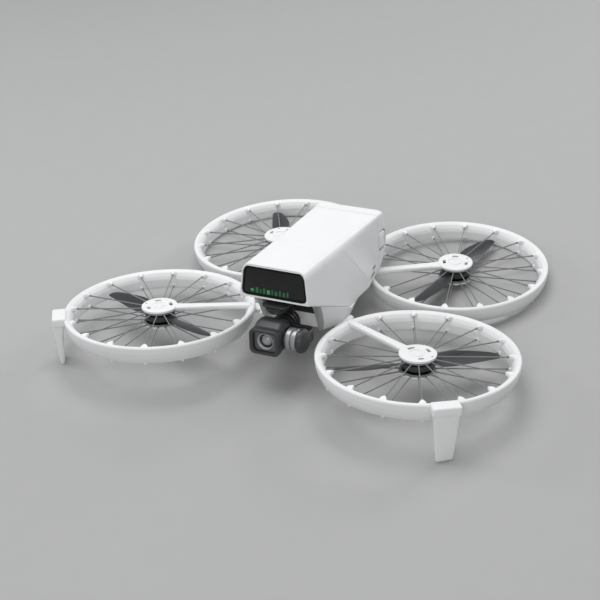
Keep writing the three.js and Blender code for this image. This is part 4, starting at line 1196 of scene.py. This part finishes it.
# ------------------------------------------------------------------ scene
FLOOR_HALF = 4.0       # metres
AMBIENT = 0.38
# Each softbox: name, place, width, power and colour.
LAMPS = [("overhead", (-0.15, 0.1, 1.1), 0.9, 8.2, (1, 1, 1)),
         ("front", (0.35, -1.2, 0.75), 0.7, 5, (1, 0.99, 0.97)),
         ("left rim", (-1.1, -0.1, 0.5), 0.5, 3, (0.96, 0.98, 1)),
         ("back rim", (0.5, 1.0, 0.55), 0.5, 4, (1, 1, 1))]
VIEW_ANGLES = (-26.06, 24.68, -1.52)       # yaw, downward tilt and roll, in degrees
VIEW_POINT = (343.1, -738.8, 367.8)
SENSOR_WIDTH, FOCAL_LENGTH = 36, 89.526


def build_stage():
    """Pale flat floor, soft light from all round, a softbox overhead and three weaker ones."""
    floor = material("pale floor", (0.38, 0.38, 0.38), 0.8, mottle=0.01, grain=0.1, grain_mm=2)
    mesh = bpy.data.meshes.new("floor")
    half = FLOOR_HALF
    mesh.from_pydata([(-half, -half, 0), (half, -half, 0), (half, half, 0), (-half, half, 0)], [],
                     [(0, 1, 2, 3)])
    mesh.materials.append(floor)
    ground = bpy.data.objects.new("floor", mesh)
    bpy.context.scene.collection.objects.link(ground)
    world = bpy.data.worlds.new("studio")
    world.use_nodes = True
    sky = world.node_tree.nodes["Background"]
    sky.inputs["Color"].default_value = (0.97, 0.985, 1, 1)
    sky.inputs["Strength"].default_value = AMBIENT
    bpy.context.scene.world = world
    bpy.context.scene.view_settings.view_transform = "Standard"
    for name, place, width, power, tint in LAMPS:
        light = bpy.data.lights.new(name, "AREA")
        light.shape, light.size, light.energy, light.color = "SQUARE", width, power, tint
        lamp = bpy.data.objects.new(name, light)
        lamp.location = place
        lamp.rotation_euler = (-Vector(place)).to_track_quat("-Z", "Y").to_euler()
        bpy.context.scene.collection.objects.link(lamp)


def build_camera():
    """Camera with the photograph's point of view and field of view."""
    yaw, down, roll = (math.radians(angle) for angle in VIEW_ANGLES)
    ahead = Vector((math.sin(yaw), math.cos(yaw), 0))
    look = math.cos(down) * ahead - math.sin(down) * Z
    right = look.cross(Z).normalized()
    up = right.cross(look)
    right, up = (math.cos(roll) * right + math.sin(roll) * up,
                 -math.sin(roll) * right + math.cos(roll) * up)
    turn = STANCE.to_3x3() @ basis(right, up, -look).to_3x3()
    camera = bpy.data.cameras.new("camera")
    camera.sensor_width, camera.lens = SENSOR_WIDTH, FOCAL_LENGTH
    camera.clip_start, camera.clip_end = 0.01, 50
    view = bpy.data.objects.new("camera", camera)
    view.matrix_world = Matrix.Translation(LEVEL_TO_ROW @ Vector(VIEW_POINT)) @ turn.to_4x4()
    bpy.context.scene.collection.objects.link(view)
    bpy.context.scene.camera = view


build_camera()
build_stage()
build_shell()
build_battery()
build_latches()
build_button_and_ports()
build_window()
build_base()
build_bay_shade_sheet()
for one in GUARDS:
    build_ring(one)
    build_arm(one)
    build_spokes(one)
    build_lower_hub(one)
    build_motor(one)
    build_propeller(one)
    build_pin(one)
build_gimbal_mount()
build_gimbal_arms()
build_camera_shell()
build_lens()
dress("belly_sensor_window", WINDOW, 0.2)
dress("main_board", BOARD, 0.1)
dress("battery_contacts", GOLD, 0.1)
